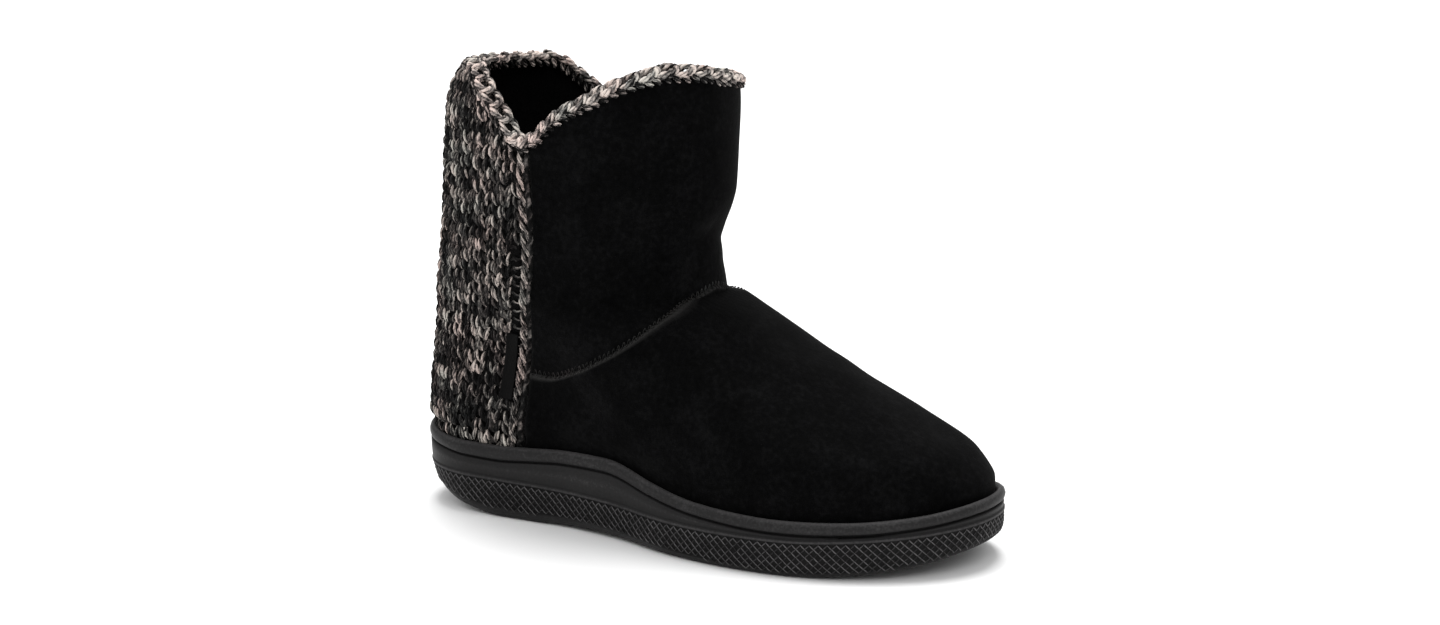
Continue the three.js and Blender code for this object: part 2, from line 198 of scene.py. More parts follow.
# Its links: which way they cross, how proud they lie, their size and tone; then the ladder's rungs.
CHAIN_LINKS = ((1, 0.55, 1.0, 0.62), (-1, -0.25, 0.85, 0.25))
LINK_PITCH, LINK_LENGTH = 6.9, 9.6
RUNG_PITCH, RUNG_HALF = 3.9, 2.7
BRAID_MIDDLE = 0.457
CHANNEL = -1.2, -1.7

# Creases of the suede: each runs between two girth shares and heights; a ridge has a positive depth.
CREASES = table(
    "side start end low high depth width",
    (0, 0.70, 1.00, 113.0, 126.5, -1.4, 4.6),
    (0, 0.78, 1.00, 127.0, 138.0, 0.6, 6.5),
    (0, 0.62, 0.90, 100.0, 114.0, -0.7, 5.0),
    (1, 0.60, 0.86, 136.0, 131.0, -0.6, 6.0),
    (1, 0.56, 0.80, 92.0, 108.0, 0.5, 6.0),
    (-1, 0.58, 0.84, 128.0, 134.0, -0.6, 6.0),
    (-1, 0.60, 0.80, 158.0, 150.0, -0.4, 8.0),
    (1, 0.64, 0.90, 152.0, 160.0, -0.4, 8.0),
    (0, 0.72, 1.00, 66.0, 83.0, -0.5, 4.5),
    (0, 0.76, 1.00, 58.0, 76.0, -0.4, 4.0),
)

# Plies of the yarn: a name, where each starts round the strand, and its tone beside the stitch.
PLIES = (("light", 0.0, 0.26), ("middle", 2.1, -0.02), ("dark", 4.2, -0.26))
# How far the plies lie from the strand's middle, in their own radii.
PLY_SPREAD = 1.15

# The collar cord: the middle of its chain; for each face its place, and the wraps' top, drop, lean and tone.
CORD_MIDDLE = -1.5
CORD_SIDES = ((0.85, 1.5, 2.9, 1.0, 0.38), (-4.15, 3.4, 4.2, -1.0, 0.44))
CORE_RADIUS = 2.05
LOOP_TONE = 0.70

# The tread under the sole: loops from the middle line to the edge, the edge's inset and the herringbone.
TREAD_LOOPS, TREAD_INSET = 30, 5.2
TREAD_COLUMN, TREAD_PITCH, TREAD_DEPTH = 9.0, 6.0, 0.9
HEEL_TUCK = 1.7
# Ribs of the side band: rows, reach in columns, and how pale each of a rib's six edges is: painted
# highlights outside, painted shade inside.
RIB_ROWS, RIB_REACH = 12, 0.54
RIB_PAINTED_LIGHT = (0.45, 1.0, 1.0, 0.45, 0.05, 0.05)
BAND_RISE, BAND_INSET = (0.0, 0.7, 3.0, 6.0, 30.0), (4.4, 2.6, 1.1, 0.6, 0.75)

# The moulded side from floor to cup: a level, a rise from it, an inset, and rows to the next line.
SOLE_SIDE = (
    ("floor", 0.0, 4.4, 2),
    ("floor", 0.7, 2.6, 4),
    ("floor", 3.0, 1.1, 6),
    ("floor", 6.0, 0.6, 14),
    ("ridge", -0.8, 0.7, 2),
    ("ridge", -0.5, 0.1, 2),
    ("ridge", 0.4, 0.1, 2),
    ("ridge", 0.8, 0.7, 2),
    ("ridge", 1.6, 0.6, 2),
    ("groove", -0.7, 0.5, 2),
    ("groove", -0.3, 1.7, 1),
    ("groove", 0.3, 1.7, 2),
    ("groove", 0.7, 0.4, 2),
    ("groove", 1.9, 0.05, 2),
    ("rim", -2.4, 0.0, 2),
    ("rim", -0.9, 0.5, 2),
    ("rim", -0.1, 1.5, 2),
    ("rim", -0.1, 2.3, 2),
    ("rim", -0.7, 3.2, 1),
    ("rim", -2.0, RIM_WALL, 2),
    ("bed", 0.0, RIM_WALL, 1),
    ("bed", 0.0, 12.0, 1),
)

# Surface effects and the values each takes.
EFFECT_INPUTS = {
    "brushed_nap": {"Fibre scale": 1400.0, "Cloud scale": 60.0},
    "curled_fleece": {"Curl scale": 420.0},
    "marl_yarn": {"Tone": 0.5, "Twist": 0.16, "Plies": 2.0, "Ply contrast": 0.3, "Fleck": 0.85},
}
# The ribbon's warp and weft: the axis across the threads, and their pitch in metres.
RIBBON = ((0, 0.0005), (2, 0.0006))
COLOUR = {"subtype": "COLOR", "size": 3, "min": 0.0, "max": 1.0}

# The studio, in metres: light from all round, then each wide light's name, the way to it, its spread in
# degrees and its strength; the camera's target (x, z) and how far right of it and above it the camera aims.
SOFT_LIGHT = 0.5
STUDIO_LIGHTS = (
    ("key", (-0.12, 0.3, 1.9), 27, 2.3),
    ("front", (0.65, -0.95, 1.1), 32, 0.68),
    ("back", (-0.5, 0.75, 1.4), 27, 0.6),
    ("left", (-0.85, -0.6, 0.85), 44, 0.66),
    ("right", (0.85, 0.5, 0.9), 44, 0.36),
)
CAMERA_TARGET, CAMERA_AIM = (-0.0075, 0.09), (0.0155, 0.0015)
FLOOR_HALF, FLOOR_POINTS = 7, 15


def curve(rows, key, column, at):
    """Smooth values of one table column that never overshoot its rows."""
    x, y = rows[key], rows[column]
    gap = np.diff(x)
    rise = np.diff(y) / gap
    before, after = rise[:-1], rise[1:]
    near, far = 2 * gap[1:] + gap[:-1], gap[1:] + 2 * gap[:-1]
    safe = before * after > 0
    mean = (near + far) / (near / np.where(safe, before, 1.0) + far / np.where(safe, after, 1.0))
    slope = np.concatenate(([rise[0]], np.where(safe, mean, 0.0), [rise[-1]]))
    at = np.clip(at, x[0], x[-1])
    i = np.clip(np.searchsorted(x, at, side="right") - 1, 0, len(gap) - 1)
    t = (at - x[i]) / gap[i]
    bend = gap[i] * (slope[i] * t * (1 - t) ** 2 + slope[i + 1] * t * t * (t - 1))
    return y[i] + (y[i + 1] - y[i]) * t * t * (3 - 2 * t) + bend


def smooth(low, high, at):
    t = np.clip((at - low) / (high - low), 0.0, 1.0)
    return t * t * (3 - 2 * t)


def bell(at, width):
    return np.exp(-((at / width) ** 2))


def unit(vectors):
    return vectors / np.maximum(np.linalg.norm(vectors, axis=-1, keepdims=True), 1e-12)


def run_length(points):
    """How far along a line each of its points lies."""
    return np.concatenate([[0], np.cumsum(np.linalg.norm(np.diff(points, axis=0), axis=1))])


def moved(points, *moves):
    """Points shifted by an amount along each of several ways."""
    for way, amount in moves:
        points = points + way * amount[..., None]
    return points


def along_of(angle):
    return (1 - np.cos(angle)) / 2


def round_end(into, power):
    return (1 - np.clip(into, 0, 1) ** power) ** (1 / power)


def outline(column, along):
    return curve(OUTLINE, "along", column, along)


def foot_width(along, lateral):
    body = np.where(lateral, outline("lateral", along), outline("medial", along))
    heel = round_end(1 - along / HEEL_LENGTH, HEEL_POWER)
    toe = round_end((along - 1 + TOE_LENGTH) / TOE_LENGTH, TOE_POWER)
    return body * heel * toe


def outline_point(angle):
    along, lateral = along_of(angle), np.sin(angle) >= 0
    half = foot_width(along, lateral) * BALL_WIDTH / 2
    y = outline("swing", along) + np.where(lateral, -half, half)
    return np.stack([along * SOLE_LENGTH, y], -1)


def outline_inset(angle, inset):
    run = unit(outline_point(angle + 0.01) - outline_point(angle - 0.01))
    inset = np.broadcast_to(inset, np.shape(angle))[..., None]
    return outline_point(angle) + np.stack([-run[..., 1], run[..., 0]], -1) * inset


def spine_point(angle):
    along = along_of(angle)
    x = SPINE_END + (SOLE_LENGTH - 2 * SPINE_END) * along
    return np.stack([x, outline("swing", along) * SPINE_SWING], -1)


_sides = outline_point(np.linspace(0, 2 * np.pi, 361))[:, 1]
MIDDLE = np.array([SOLE_LENGTH / 2, (_sides.min() + _sides.max()) / 2, 0.0])


def section(column, height):
    return curve(SECTIONS, "height", column, height)


def sole_level(column, angle):
    return curve(SOLE, "along", column, along_of(angle))


def section_point(angle, height):
    along, lateral = along_of(angle), np.sin(angle) >= 0
    oval = (1 - np.abs(2 * along - 1) ** SHAFT_POWER) ** (1 / SHAFT_POWER)
    foot = section("foot", height)
    shape = oval + (foot_width(along, lateral) - oval) * foot
    half = shape * np.where(lateral, section("lateral", height), section("medial", height))
    back = section("back", height)
    x = back + (section("front", height) - back) * along
    y = outline("swing", along) * section("lean", height) + np.where(lateral, -half, half)
    return np.stack([x, y], -1)


def wrap(girth):
    """Girth shares run from 0 at the heel to 1 at the front, negative on the inner side."""
    return np.where(girth > 1, girth - 2, np.where(girth < -1, girth + 2, girth))


def girth_angle(girth, height):
    share = np.abs(girth)
    back = section("back", height)
    chord = section("front", height) - back
    seam = np.arccos(1 - 2 * (curve(SIDE_SEAM, "height", "x", height) - back) / chord)
    ahead = seam + (np.pi - seam) * (share - SEAM) / (1 - SEAM)
    return np.where(share <= SEAM, seam * share / SEAM, ahead) * np.where(girth < 0, -1.0, 1.0)


def face_point(girth, height):
    """The outer face of the upper: the sole's shape inside the cup, its own sections above the rim."""
    girth, height = np.broadcast_arrays(np.asarray(girth, float), np.asarray(height, float))
    angle = girth_angle(girth, height)
    free = smooth(0, RIM_RISE, height - sole_level("rim", angle))[..., None]
    seat = outline_inset(angle, RIM_WALL + SEAT_GAP)
    flat = seat + (section_point(angle, height) - seat) * free
    return np.concatenate([flat, height[..., None]], -1)


def face_frame(girth, height):
    """Point, direction round the girth, direction up the face and outward normal."""
    girth, height = np.broadcast_arrays(np.asarray(girth, float), np.asarray(height, float))
    point = face_point(girth, height)
    round_ = face_point(wrap(girth + 0.004), height) - face_point(wrap(girth - 0.004), height)
    rise = face_point(girth, height + 0.5) - face_point(girth, height - 0.5)
    normal = unit(np.cross(round_, rise))
    round_ = unit(round_)
    return point, round_, np.cross(normal, round_), normal


def face_offset(girth, height, out):
    point, _, _, normal = face_frame(girth, height)
    return moved(point, (normal, np.broadcast_to(out, point.shape[:-1])))


def collar_height(girth):
    lateral, medial = (curve(COLLAR, "share", side, np.abs(girth)) for side in ("lateral", "medial"))
    return np.where(girth < 0, medial, lateral)


def instep_height(girth):
    return curve(INSTEP, "share", "height", np.abs(girth))


def rim_height(girth):
    return sole_level("rim", girth_angle(girth, np.full(np.shape(girth), RIM_LEVEL)))


def seat_height(girth):
    return sole_level("bed", girth_angle(girth, np.full(np.shape(girth), SEAT_LEVEL))) + BED_GAP


def chain_share(height):
    return curve(CHAIN, "height", "share", height)


def crease_depth(girth, height):
    """Listed soft troughs and ridges of the suede."""
    depth = np.zeros(np.broadcast(girth, height).shape)
    share = np.abs(girth)
    for side, start, end, low, high, deep, width in zip(*CREASES.values()):
        part = (share - start) / (end - start)
        line = low + (high - low) * np.clip(part, 0, 1) ** 0.8
        fade = smooth(0, 0.35, part) * (1 - smooth(0.999, 1.25, part) * (end < 0.99))
        here = np.where(girth * side >= 0, 1.0, 0.0)
        depth = depth + here * fade * deep * bell(height - line, width)
    return depth


def soft_noise(points, size, seed):
    """Smooth values from about -1 to 1 that change over the given size in millimetres."""
    rng = np.random.default_rng(seed)
    total = np.zeros(points.shape[:-1])
    for _ in range(7):
        way = unit(rng.normal(size=3)) * rng.uniform(0.7, 1.5) * 2 * np.pi / size
        total = total + np.sin(points @ way + rng.uniform(0, 6.28))
    return total / 3.2


def face_grid(girth, low, high, rows):
    """Girth shares and heights of rows of points from a lower line to an upper one."""
    height = low + (high - low) * np.linspace(0, 1, rows)[:, None]
    return np.broadcast_to(girth, height.shape), height


def grid_faces(rows, columns, closed=False):
    last = columns if closed else columns - 1
    row, column = np.meshgrid(np.arange(rows - 1), np.arange(last), indexing="ij")
    low, high, after = row * columns, (row + 1) * columns, (column + 1) % columns
    return np.stack([low + column, low + after, high + after, high + column], -1).reshape(-1, 4)


def shell_faces(rows, columns, closed=False):
    """Faces of a wall whose outer grid of points comes first and its inner grid second."""
    outer = grid_faces(rows, columns, closed)
    count = rows * columns
    column = np.arange(columns if closed else columns - 1)
    after = (column + 1) % columns
    top = (rows - 1) * columns
    sides = [
        outer,
        outer[:, ::-1] + count,
        np.stack([after, column, column + count, after + count], -1),
        np.stack([top + column, top + after, top + after + count, top + column + count], -1),
    ]
    if not closed:
        row = np.arange(rows - 1) * columns
        end = row + columns - 1
        sides.append(np.stack([row, row + columns, row + columns + count, row + count], -1))
        sides.append(np.stack([end + columns, end, end + count, end + columns + count], -1))
    return np.concatenate(sides)


def strand_frame(paths, hint, closed):
    """The ways across each strand and out from it, at every step."""
    if closed:
        run = unit(np.roll(paths, -1, 1) - np.roll(paths, 1, 1))
    else:
        run = unit(np.gradient(paths, axis=1))
    across = unit(np.cross(run, np.broadcast_to(hint, paths.shape)))
    return across, np.cross(across, run)


def tube_mesh(paths, radius, hint, sides=6, flat=1.0, closed=False):
    """Many like strands at once: paths (strand, step, xyz), radius (strand, step), hint their outward side.

    Each face corner's place is its share round the strand and its millimetres along it.
    """
    across, lift = strand_frame(paths, hint, closed)
    turn = np.arange(sides) * 2 * np.pi / sides
    ring = across[:, :, None] * np.cos(turn)[:, None] + lift[:, :, None] * np.sin(turn)[:, None] * flat
    points = paths[:, :, None] + ring * radius[:, :, None, None]
    strands, steps = radius.shape
    step, side = np.meshgrid(np.arange(steps if closed else steps - 1), np.arange(sides), indexing="ij")
    low, high, after = step * sides, (step + 1) % steps * sides, (side + 1) % sides
    one = np.stack([low + side, high + side, high + after, low + after], -1).reshape(-1, 4)
    steps_to = np.diff(np.concatenate([paths, paths[:, :1]], 1), axis=1)
    length = np.cumsum(np.linalg.norm(steps_to, axis=2), 1)
    length = np.concatenate([np.zeros((strands, 1)), length], 1)
    start, end = length[:, step], length[:, step + 1]
    near, far = side / sides + 0 * start, (side + 1) / sides + 0 * start
    places = np.stack([near, start, near, end, far, end, far, start], -1).reshape(strands, -1, 2)
    if not closed:
        edge = np.arange(sides // 2 - 1)
        cap = np.stack([edge, edge + 1, sides - 2 - edge, sides - 1 - edge], -1)
        one = np.concatenate([one, cap, cap[:, ::-1] + (steps - 1) * sides])
        ends = np.repeat(length[:, [0, steps - 1]], 4 * len(cap), axis=1)
        places = np.concatenate([places, np.stack([0 * ends, ends], -1)], 1)
    faces = (one[None] + (np.arange(strands) * steps * sides)[:, None, None]).reshape(-1, 4)
    return points.reshape(-1, 3), faces, places.reshape(-1, 2)


def plied(paths, radius, hint, turn, closed=False):
    """The three plies of each strand, twisted round its path: a tube set and a tone shift for each ply."""
    across, lift = strand_frame(paths, hint, closed)
    for _, start, shift in PLIES:
        side, rise = (wave(turn + start) * radius * PLY_SPREAD for wave in (np.cos, np.sin))
        yield tube_mesh(moved(paths, (across, side), (lift, rise)), radius, hint, closed=closed), shift


def make_object(name, points, faces, material, slot, solid, places=None, values=None):
    """A piece in metres that rides with the boot and stands for the named solid."""
    mesh = bpy.data.meshes.new(name)
    mesh.from_pydata(((points.reshape(-1, 3) - MIDDLE) * MM).tolist(), [], faces.tolist())
    if places is not None:
        layer = mesh.uv_layers.new(name="strand")
        layer.data.foreach_set("uv", places.astype(np.float32).ravel())
    for key, value in (values or {}).items():
        layer = mesh.attributes.new(key, "FLOAT", "POINT")
        layer.data.foreach_set("value", np.asarray(value, np.float32).ravel())
    mesh.polygons.foreach_set("use_smooth", np.ones(len(mesh.polygons), bool))
    mesh.materials.append(material)
    mesh.update()
    piece = bpy.data.objects.new(name, mesh)
    bpy.context.scene.collection.objects.link(piece)
    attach(piece, "root")
    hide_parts(solid)
    return piece


def make_shell(name, girth, height, outs, material, slot, solid, closed=False, values=None):
    """A wall between two offsets of the boot's face."""
    points = np.stack([face_offset(girth, height, out) for out in outs])
    make_object(name, points, shell_faces(*height.shape, closed), material, slot, solid, values=values)


def make_yarn(name, parts, material, slot, solid):
    """One piece from several tube sets, each with the tones of its stitches."""
    points, faces, places, tones, start = [], [], [], [], 0
    for (part_points, part_faces, part_places), tone in parts:
        points.append(part_points)
        faces.append(part_faces + start)
        places.append(part_places)
        tones.append(np.repeat(tone, len(part_points) // len(tone)))
        start += len(part_points)
    points, faces, places, tones = (np.concatenate(each) for each in (points, faces, places, tones))
    make_object(name, points, faces, material, slot, solid, places, {"tone": tones})


def fill(tree, sockets, values):
    """Sets each named socket to a plain value, or links another socket to it."""
    for key, value in values.items():
        if isinstance(value, bpy.types.NodeSocket):
            tree.links.new(value, sockets[key])
        else:
            sockets[key].default_value = value


def node(tree, kind, inputs=None, **settings):
    made = tree.nodes.new(kind)
    for key, value in settings.items():
        setattr(made, key, value)
    fill(tree, made.inputs, inputs or {})
    return made


def maths(tree, operation, *values):
    return node(tree, "ShaderNodeMath", dict(enumerate(values)), operation=operation).outputs[0]


def scaled(tree, value, by, plus=0.0):
    return maths(tree, "MULTIPLY_ADD", value, by, plus)


def mixed(tree, share, a, b, way="MIX"):
    return node(tree, "ShaderNodeMix", {0: share, 6: a, 7: b}, data_type="RGBA", blend_type=way).outputs[2]


def ramp(tree, share, *stops):
    made = node(tree, "ShaderNodeValToRGB", {0: share})
    bar = made.color_ramp
    while len(bar.elements) < len(stops):
        bar.elements.new(0.5)
    for element, (place, colour) in zip(bar.elements, stops):
        element.position = place
        element.color = (*colour[:3], 1.0)
    return made.outputs[0]


def noise(tree, place, scale, detail, rough):
    inputs = {"Vector": place, "Scale": scale, "Detail": detail, "Roughness": rough}
    return node(tree, "ShaderNodeTexNoise", inputs).outputs["Fac"]


def own_place(tree):
    return node(tree, "ShaderNodeTexCoord").outputs["Object"]


def attribute(tree, name):
    return node(tree, "ShaderNodeAttribute", attribute_name=name).outputs["Fac"]


def dyed(colour, factor):
    return [c * factor for c in colour]


def shades(colour, *factors):
    return [dyed(colour, factor) for factor in factors]


def effect(tree, build, **values):
    """A surface effect placed in a material. Its group, built once, puts out a shade and a height."""
    name, inputs = build.__name__.replace("_", " ").capitalize(), EFFECT_INPUTS[build.__name__]
    group = bpy.data.node_groups.get(name)
    if group is None:
        group = bpy.data.node_groups.new(name, "ShaderNodeTree")
        for label, default in inputs.items():
            socket = group.interface.new_socket(label, in_out="INPUT", socket_type="NodeSocketFloat")
            socket.default_value = default
        for label in ("Shade", "Height"):
            group.interface.new_socket(label, in_out="OUTPUT", socket_type="NodeSocketFloat")
        shade, height = build(group, group.nodes.new("NodeGroupInput").outputs)
        fill(group, group.nodes.new("NodeGroupOutput").inputs, {"Shade": shade, "Height": height})
    inputs = {key.replace("_", " "): value for key, value in values.items()}
    return node(tree, "ShaderNodeGroup", inputs, node_tree=group).outputs


def brushed_nap(group, source):
    """Short brushed nap: a cloudy shade where the pile lies over, and a fine height."""
    place = own_place(group)
    fibre = noise(group, place, source["Fibre scale"], 2.0, 0.6)
    cloud = noise(group, place, source["Cloud scale"], 4.0, 0.6)
    speck = noise(group, place, scaled(group, source["Fibre scale"], 0.28), 3.0, 0.65)
    shade = scaled(group, cloud, 0.5, scaled(group, speck, 0.5))
    return shade, scaled(group, fibre, 0.6, scaled(group, speck, 0.4))


def curled_fleece(group, source):
    """Curled pile: clumps whose shade follows their height, with painted shade at the roots and painted
    highlights on the tops.
    """
    place = own_place(group)
    warp = noise(group, place, scaled(group, source["Curl scale"], 0.6), 2.0, 0.5)
    bent = node(group, "ShaderNodeVectorMath", {0: place, 1: warp, 2: place}, operation="MULTIPLY_ADD")
    cells = {"Vector": bent.outputs[0], "Scale": source["Curl scale"]}
    clump = maths(group, "SUBTRACT", 1.0, node(group, "ShaderNodeTexVoronoi", cells).outputs["Distance"])
    fibre = noise(group, place, scaled(group, source["Curl scale"], 4.0), 2.0, 0.6)
    height = scaled(group, fibre, 0.35, scaled(group, clump, 0.65))
    return height, height


def marl_yarn(group, source):
    """Marl yarn: light and dark fibres twisted together, with flecks and loose fuzz."""
    strand = node(group, "ShaderNodeUVMap", uv_map="strand").outputs[0]
    around, along = node(group, "ShaderNodeSeparateXYZ", {0: strand}).outputs[:2]
    place = own_place(group)
    turns = scaled(group, along, source["Twist"], maths(group, "MULTIPLY", around, source["Plies"]))
    wave, fine = (maths(group, "SINE", scaled(group, turns, turn * math.pi)) for turn in (2, 6))
    fuzz = noise(group, place, 1900.0, 3.0, 0.7)
    shade = scaled(group, wave, source["Ply contrast"], source["Tone"])
    shade = maths(group, "ADD", shade, scaled(group, fuzz, 0.5, -0.25))
    fleck = maths(group, "ADD", noise(group, place, 780.0, 2.0, 0.6), -0.5)
    shade = scaled(group, fleck, source["Fleck"], shade)
    return shade, scaled(group, wave, 0.3, scaled(group, fine, 0.18, fuzz))


def new_material(name):
    material = bpy.data.materials.new(name)
    material.use_nodes = True
    tree = material.node_tree
    return material, tree, tree.nodes["Principled BSDF"].inputs


def bump(tree, height, distance, strength):
    inputs = {"Height": height, "Distance": distance, "Strength": strength}
    return node(tree, "ShaderNodeBump", inputs).outputs[0]


def suede_material(colour, edge_colour):
    """Black suede with a brushed nap; the cut edge shows paler."""
    material, tree, sockets = new_material("Black suede")
    nap = effect(tree, brushed_nap, Fibre_scale=1500.0, Cloud_scale=45.0)
    dark, pale = shades(colour, 0.5, 2.3)
    base = ramp(tree, nap["Shade"], (0.36, dark), (0.5, colour), (0.66, pale))
    ragged = maths(tree, "MULTIPLY", attribute(tree, "raw_edge"), scaled(tree, nap["Height"], 0.9, 0.55))
    fill(tree, sockets, {
        "Base Color": mixed(tree, ragged, base, (*edge_colour, 1.0)),
        "Roughness": scaled(tree, nap["Shade"], 0.2, 0.78),
        "Specular IOR Level": 0.015,
        "Sheen Weight": 0.018,
        "Sheen Roughness": 0.4,
        "Normal": bump(tree, nap["Height"], 0.0004, 0.55),
    })
    return material


def fleece_material(name, colour, scale):
    material, tree, sockets = new_material(name)
    pile = effect(tree, curled_fleece, Curl_scale=scale)
    dark, pale = shades(colour, 0.35, 1.5)
    fill(tree, sockets, {
        # Low pile is painted dark and high pile pale: painted shade and painted highlights.
        "Base Color": ramp(tree, pile["Shade"], (0.3, dark), (0.62, colour), (0.85, pale)),
        "Roughness": scaled(tree, pile["Shade"], 0.1, 0.88),
        "Specular IOR Level": 0.03,
        "Sheen Weight": 0.01,
        "Normal": bump(tree, pile["Height"], 0.0015, 0.8),
    })
    return material


def yarn_material(name, dark, middle, light, contrast):
    """Marl yarn whose tone is set stitch by stitch, with a faint warm and cool tint."""
    material, tree, sockets = new_material(name)
    yarn = effect(tree, marl_yarn, Tone=attribute(tree, "tone"), Ply_contrast=contrast)
    deep = dyed(dark, 0.3)
    colour = ramp(tree, yarn["Shade"], (0.0, deep), (0.28, dark), (0.6, middle), (0.98, light))
    patch = noise(tree, own_place(tree), 70.0, 2.0, 0.5)
    tint = ramp(tree, patch, (0.36, (0.93, 1.0, 1.0)), (0.64, (1.05, 0.95, 0.95)))
    fill(tree, sockets, {
        "Base Color": mixed(tree, 1.0, colour, tint, "MULTIPLY"),
        "Roughness": scaled(tree, yarn["Shade"], 0.1, 0.82),
        "Specular IOR Level": 0.06,
        "Sheen Weight": 0.02,
        "Sheen Roughness": 0.5,
        "Normal": bump(tree, yarn["Height"], 0.0003, 0.7),
    })
    return material


def rubber_material(colour):
    """Moulded black rubber: satin, with a faint bloom and fine scuffs; a per-point value paints highlights
    and shade on it, and some wear.
    """
    material, tree, sockets = new_material("Moulded black rubber")
    place = own_place(tree)
    bloom = noise(tree, place, 38.0, 5.0, 0.6)
    grain = noise(tree, place, 2600.0, 2.0, 0.5)
    stretched = node(tree, "ShaderNodeMapping", {"Vector": place, "Scale": (0.12, 0.5, 1.0)}).outputs[0]
    scuff = noise(tree, stretched, 700.0, 3.0, 0.7)
    marks = ramp(tree, scuff, (0.62, (0.0, 0.0, 0.0)), (0.78, (1.0, 1.0, 1.0)))
    # Per-point painted light: painted highlights on the ridge, rim and rib tops, painted shade in the band
    # and groove, some crest wear.
    wear = maths(tree, "ADD", attribute(tree, "wear"), -0.27)
    mottle = scaled(tree, noise(tree, place, 900.0, 2.0, 0.6), 0.3, wear)
    # The dark and pale ends of this ramp carry the painted shade and the painted highlights.
    dark, pale, scuffed = shades(colour, 0.11, 5.6, 2.2)
    base = ramp(tree, scaled(tree, bloom, 0.24, mottle), (0.0, dark), (0.5, colour), (1.0, pale))
    rough = scaled(tree, bloom, 0.16, scaled(tree, grain, 0.1, 0.33))
    fill(tree, sockets, {
        "Base Color": mixed(tree, scaled(tree, marks, 0.16), base, (*scuffed, 1.0)),
        "Roughness": scaled(tree, marks, 0.08, rough),
        "Specular IOR Level": 0.07,
        "Normal": bump(tree, scaled(tree, scuff, 0.4, grain), 0.00012, 0.35),
    })
    return material


def ribbon_material(colour):
    """Fine plain-woven ribbon."""
    material, tree, sockets = new_material("Woven ribbon")
    place = own_place(tree)
    parts = node(tree, "ShaderNodeSeparateXYZ", {0: place}).outputs
    turns = [scaled(tree, parts[axis], 2 * math.pi / pitch) for axis, pitch in RIBBON]
    warp, weft = (maths(tree, "SINE", turn) for turn in turns)
    weave = scaled(tree, maths(tree, "MULTIPLY", warp, weft), 0.5, 0.5)
    worn = noise(tree, place, 240.0, 4.0, 0.6)
    shade = scaled(tree, weave, 0.5, scaled(tree, worn, 0.5))
    dark, pale = shades(colour, 0.55, 1.6)
    fill(tree, sockets, {
        "Base Color": ramp(tree, shade, (0.2, dark), (0.5, colour), (0.85, pale)),
        "Roughness": scaled(tree, worn, 0.2, 0.55),
        "Specular IOR Level": 0.04,
        "Normal": bump(tree, weave, 0.0002, 0.6),
    })
    return material


def floor_material(colour):
    material, tree, sockets = new_material("Pale studio floor")
    tint = noise(tree, own_place(tree), 1.5, 2.0, 0.5)
    dull = dyed(colour, 0.985)
    fill(tree, sockets, {
        "Base Color": ramp(tree, tint, (0.3, dull), (0.7, colour)),
        "Roughness": scaled(tree, tint, 0.1, 0.6),
        "Specular IOR Level": 0.2,
    })
    return material


class SlipperSoleSettings(bpy.types.PropertyGroup):
    """Sizes and colour of the cup sole."""
    rubber: FloatVectorProperty(name="Rubber", description="Colour of the moulded rubber",
                                default=(0.0178, 0.0173, 0.0175), **COLOUR)
    rib_width: FloatProperty(name="Rib column", description="Width of one slanted rib on the side band",
                             default=0.0018, unit="LENGTH", min=0.001, max=0.02)
    rib_pitch: FloatProperty(name="Rib pitch", description="Height of one slanted rib",
                             default=0.0017, unit="LENGTH", min=0.001, max=0.01)
    rib_size: FloatProperty(name="Rib size", description="Half the thickness of a slanted rib",
                            default=0.00028, unit="LENGTH", min=0.0001, max=0.002)
    columns: IntProperty(name="Columns", description="Points round the sole", default=640, min=96, max=2400)


class SlipperUpperSettings(bpy.types.PropertyGroup):
    """Colours and folds of the suede upper and its lining."""
    suede: FloatVectorProperty(name="Suede", description="Colour of the suede",
                               default=(0.0021, 0.0021, 0.0022), **COLOUR)
    raw_edge: FloatVectorProperty(name="Cut edge", description="Colour of the cut suede edge at the instep",
                                  default=(0.022, 0.0214, 0.0209), **COLOUR)
    lining: FloatVectorProperty(name="Lining", description="Colour of the fleece lining",
                                default=(0.004, 0.0038, 0.0038), **COLOUR)
    crease: FloatProperty(name="Crease strength", description="Depth of the soft creases", subtype="FACTOR",
                          default=1.0, min=0.0, max=3.0)


class SlipperKnitSettings(bpy.types.PropertyGroup):
    """Stitches and yarn colours of the knit and crochet."""
    ribs: IntProperty(name="Ribs", description="Raised ribs across the knit back, two stitches each",
                      default=16, min=4, max=60)
    row_pitch: FloatProperty(name="Row pitch", description="Height of one knit row",
                             default=0.0050, unit="LENGTH", min=0.002, max=0.01)
    cord_pitch: FloatProperty(name="Cord pitch", description="Length of one crochet stitch on the collar",
                              default=0.0076, unit="LENGTH", min=0.003, max=0.02)
    dark: FloatVectorProperty(name="Dark yarn", description="Charcoal ply",
                              default=(0.0115, 0.0111, 0.0109), **COLOUR)
    middle: FloatVectorProperty(name="Middle yarn", description="Grey-taupe ply",
                                default=(0.076, 0.069, 0.065), **COLOUR)
    light: FloatVectorProperty(name="Light yarn", description="Beige ply",
                               default=(0.55, 0.485, 0.44), **COLOUR)


class SlipperStageSettings(bpy.types.PropertyGroup):
    """Camera and floor."""
    azimuth: FloatProperty(name="Azimuth", description="Turn of the camera round the boot", subtype="ANGLE",
                           default=math.radians(31.3))
    elevation: FloatProperty(name="Elevation", description="Height of the camera above the horizon",
                             subtype="ANGLE", default=math.radians(11.7))
    distance: FloatProperty(name="Distance", description="Camera to the middle of the boot", unit="LENGTH",
                            default=0.977)
    lens: FloatProperty(name="Lens", description="Focal length", unit="CAMERA",
                        default=58.0, min=10.0, max=300.0)
    floor: FloatVectorProperty(name="Floor", description="Colour of the floor",
                               default=(0.94, 0.94, 0.94), **COLOUR)


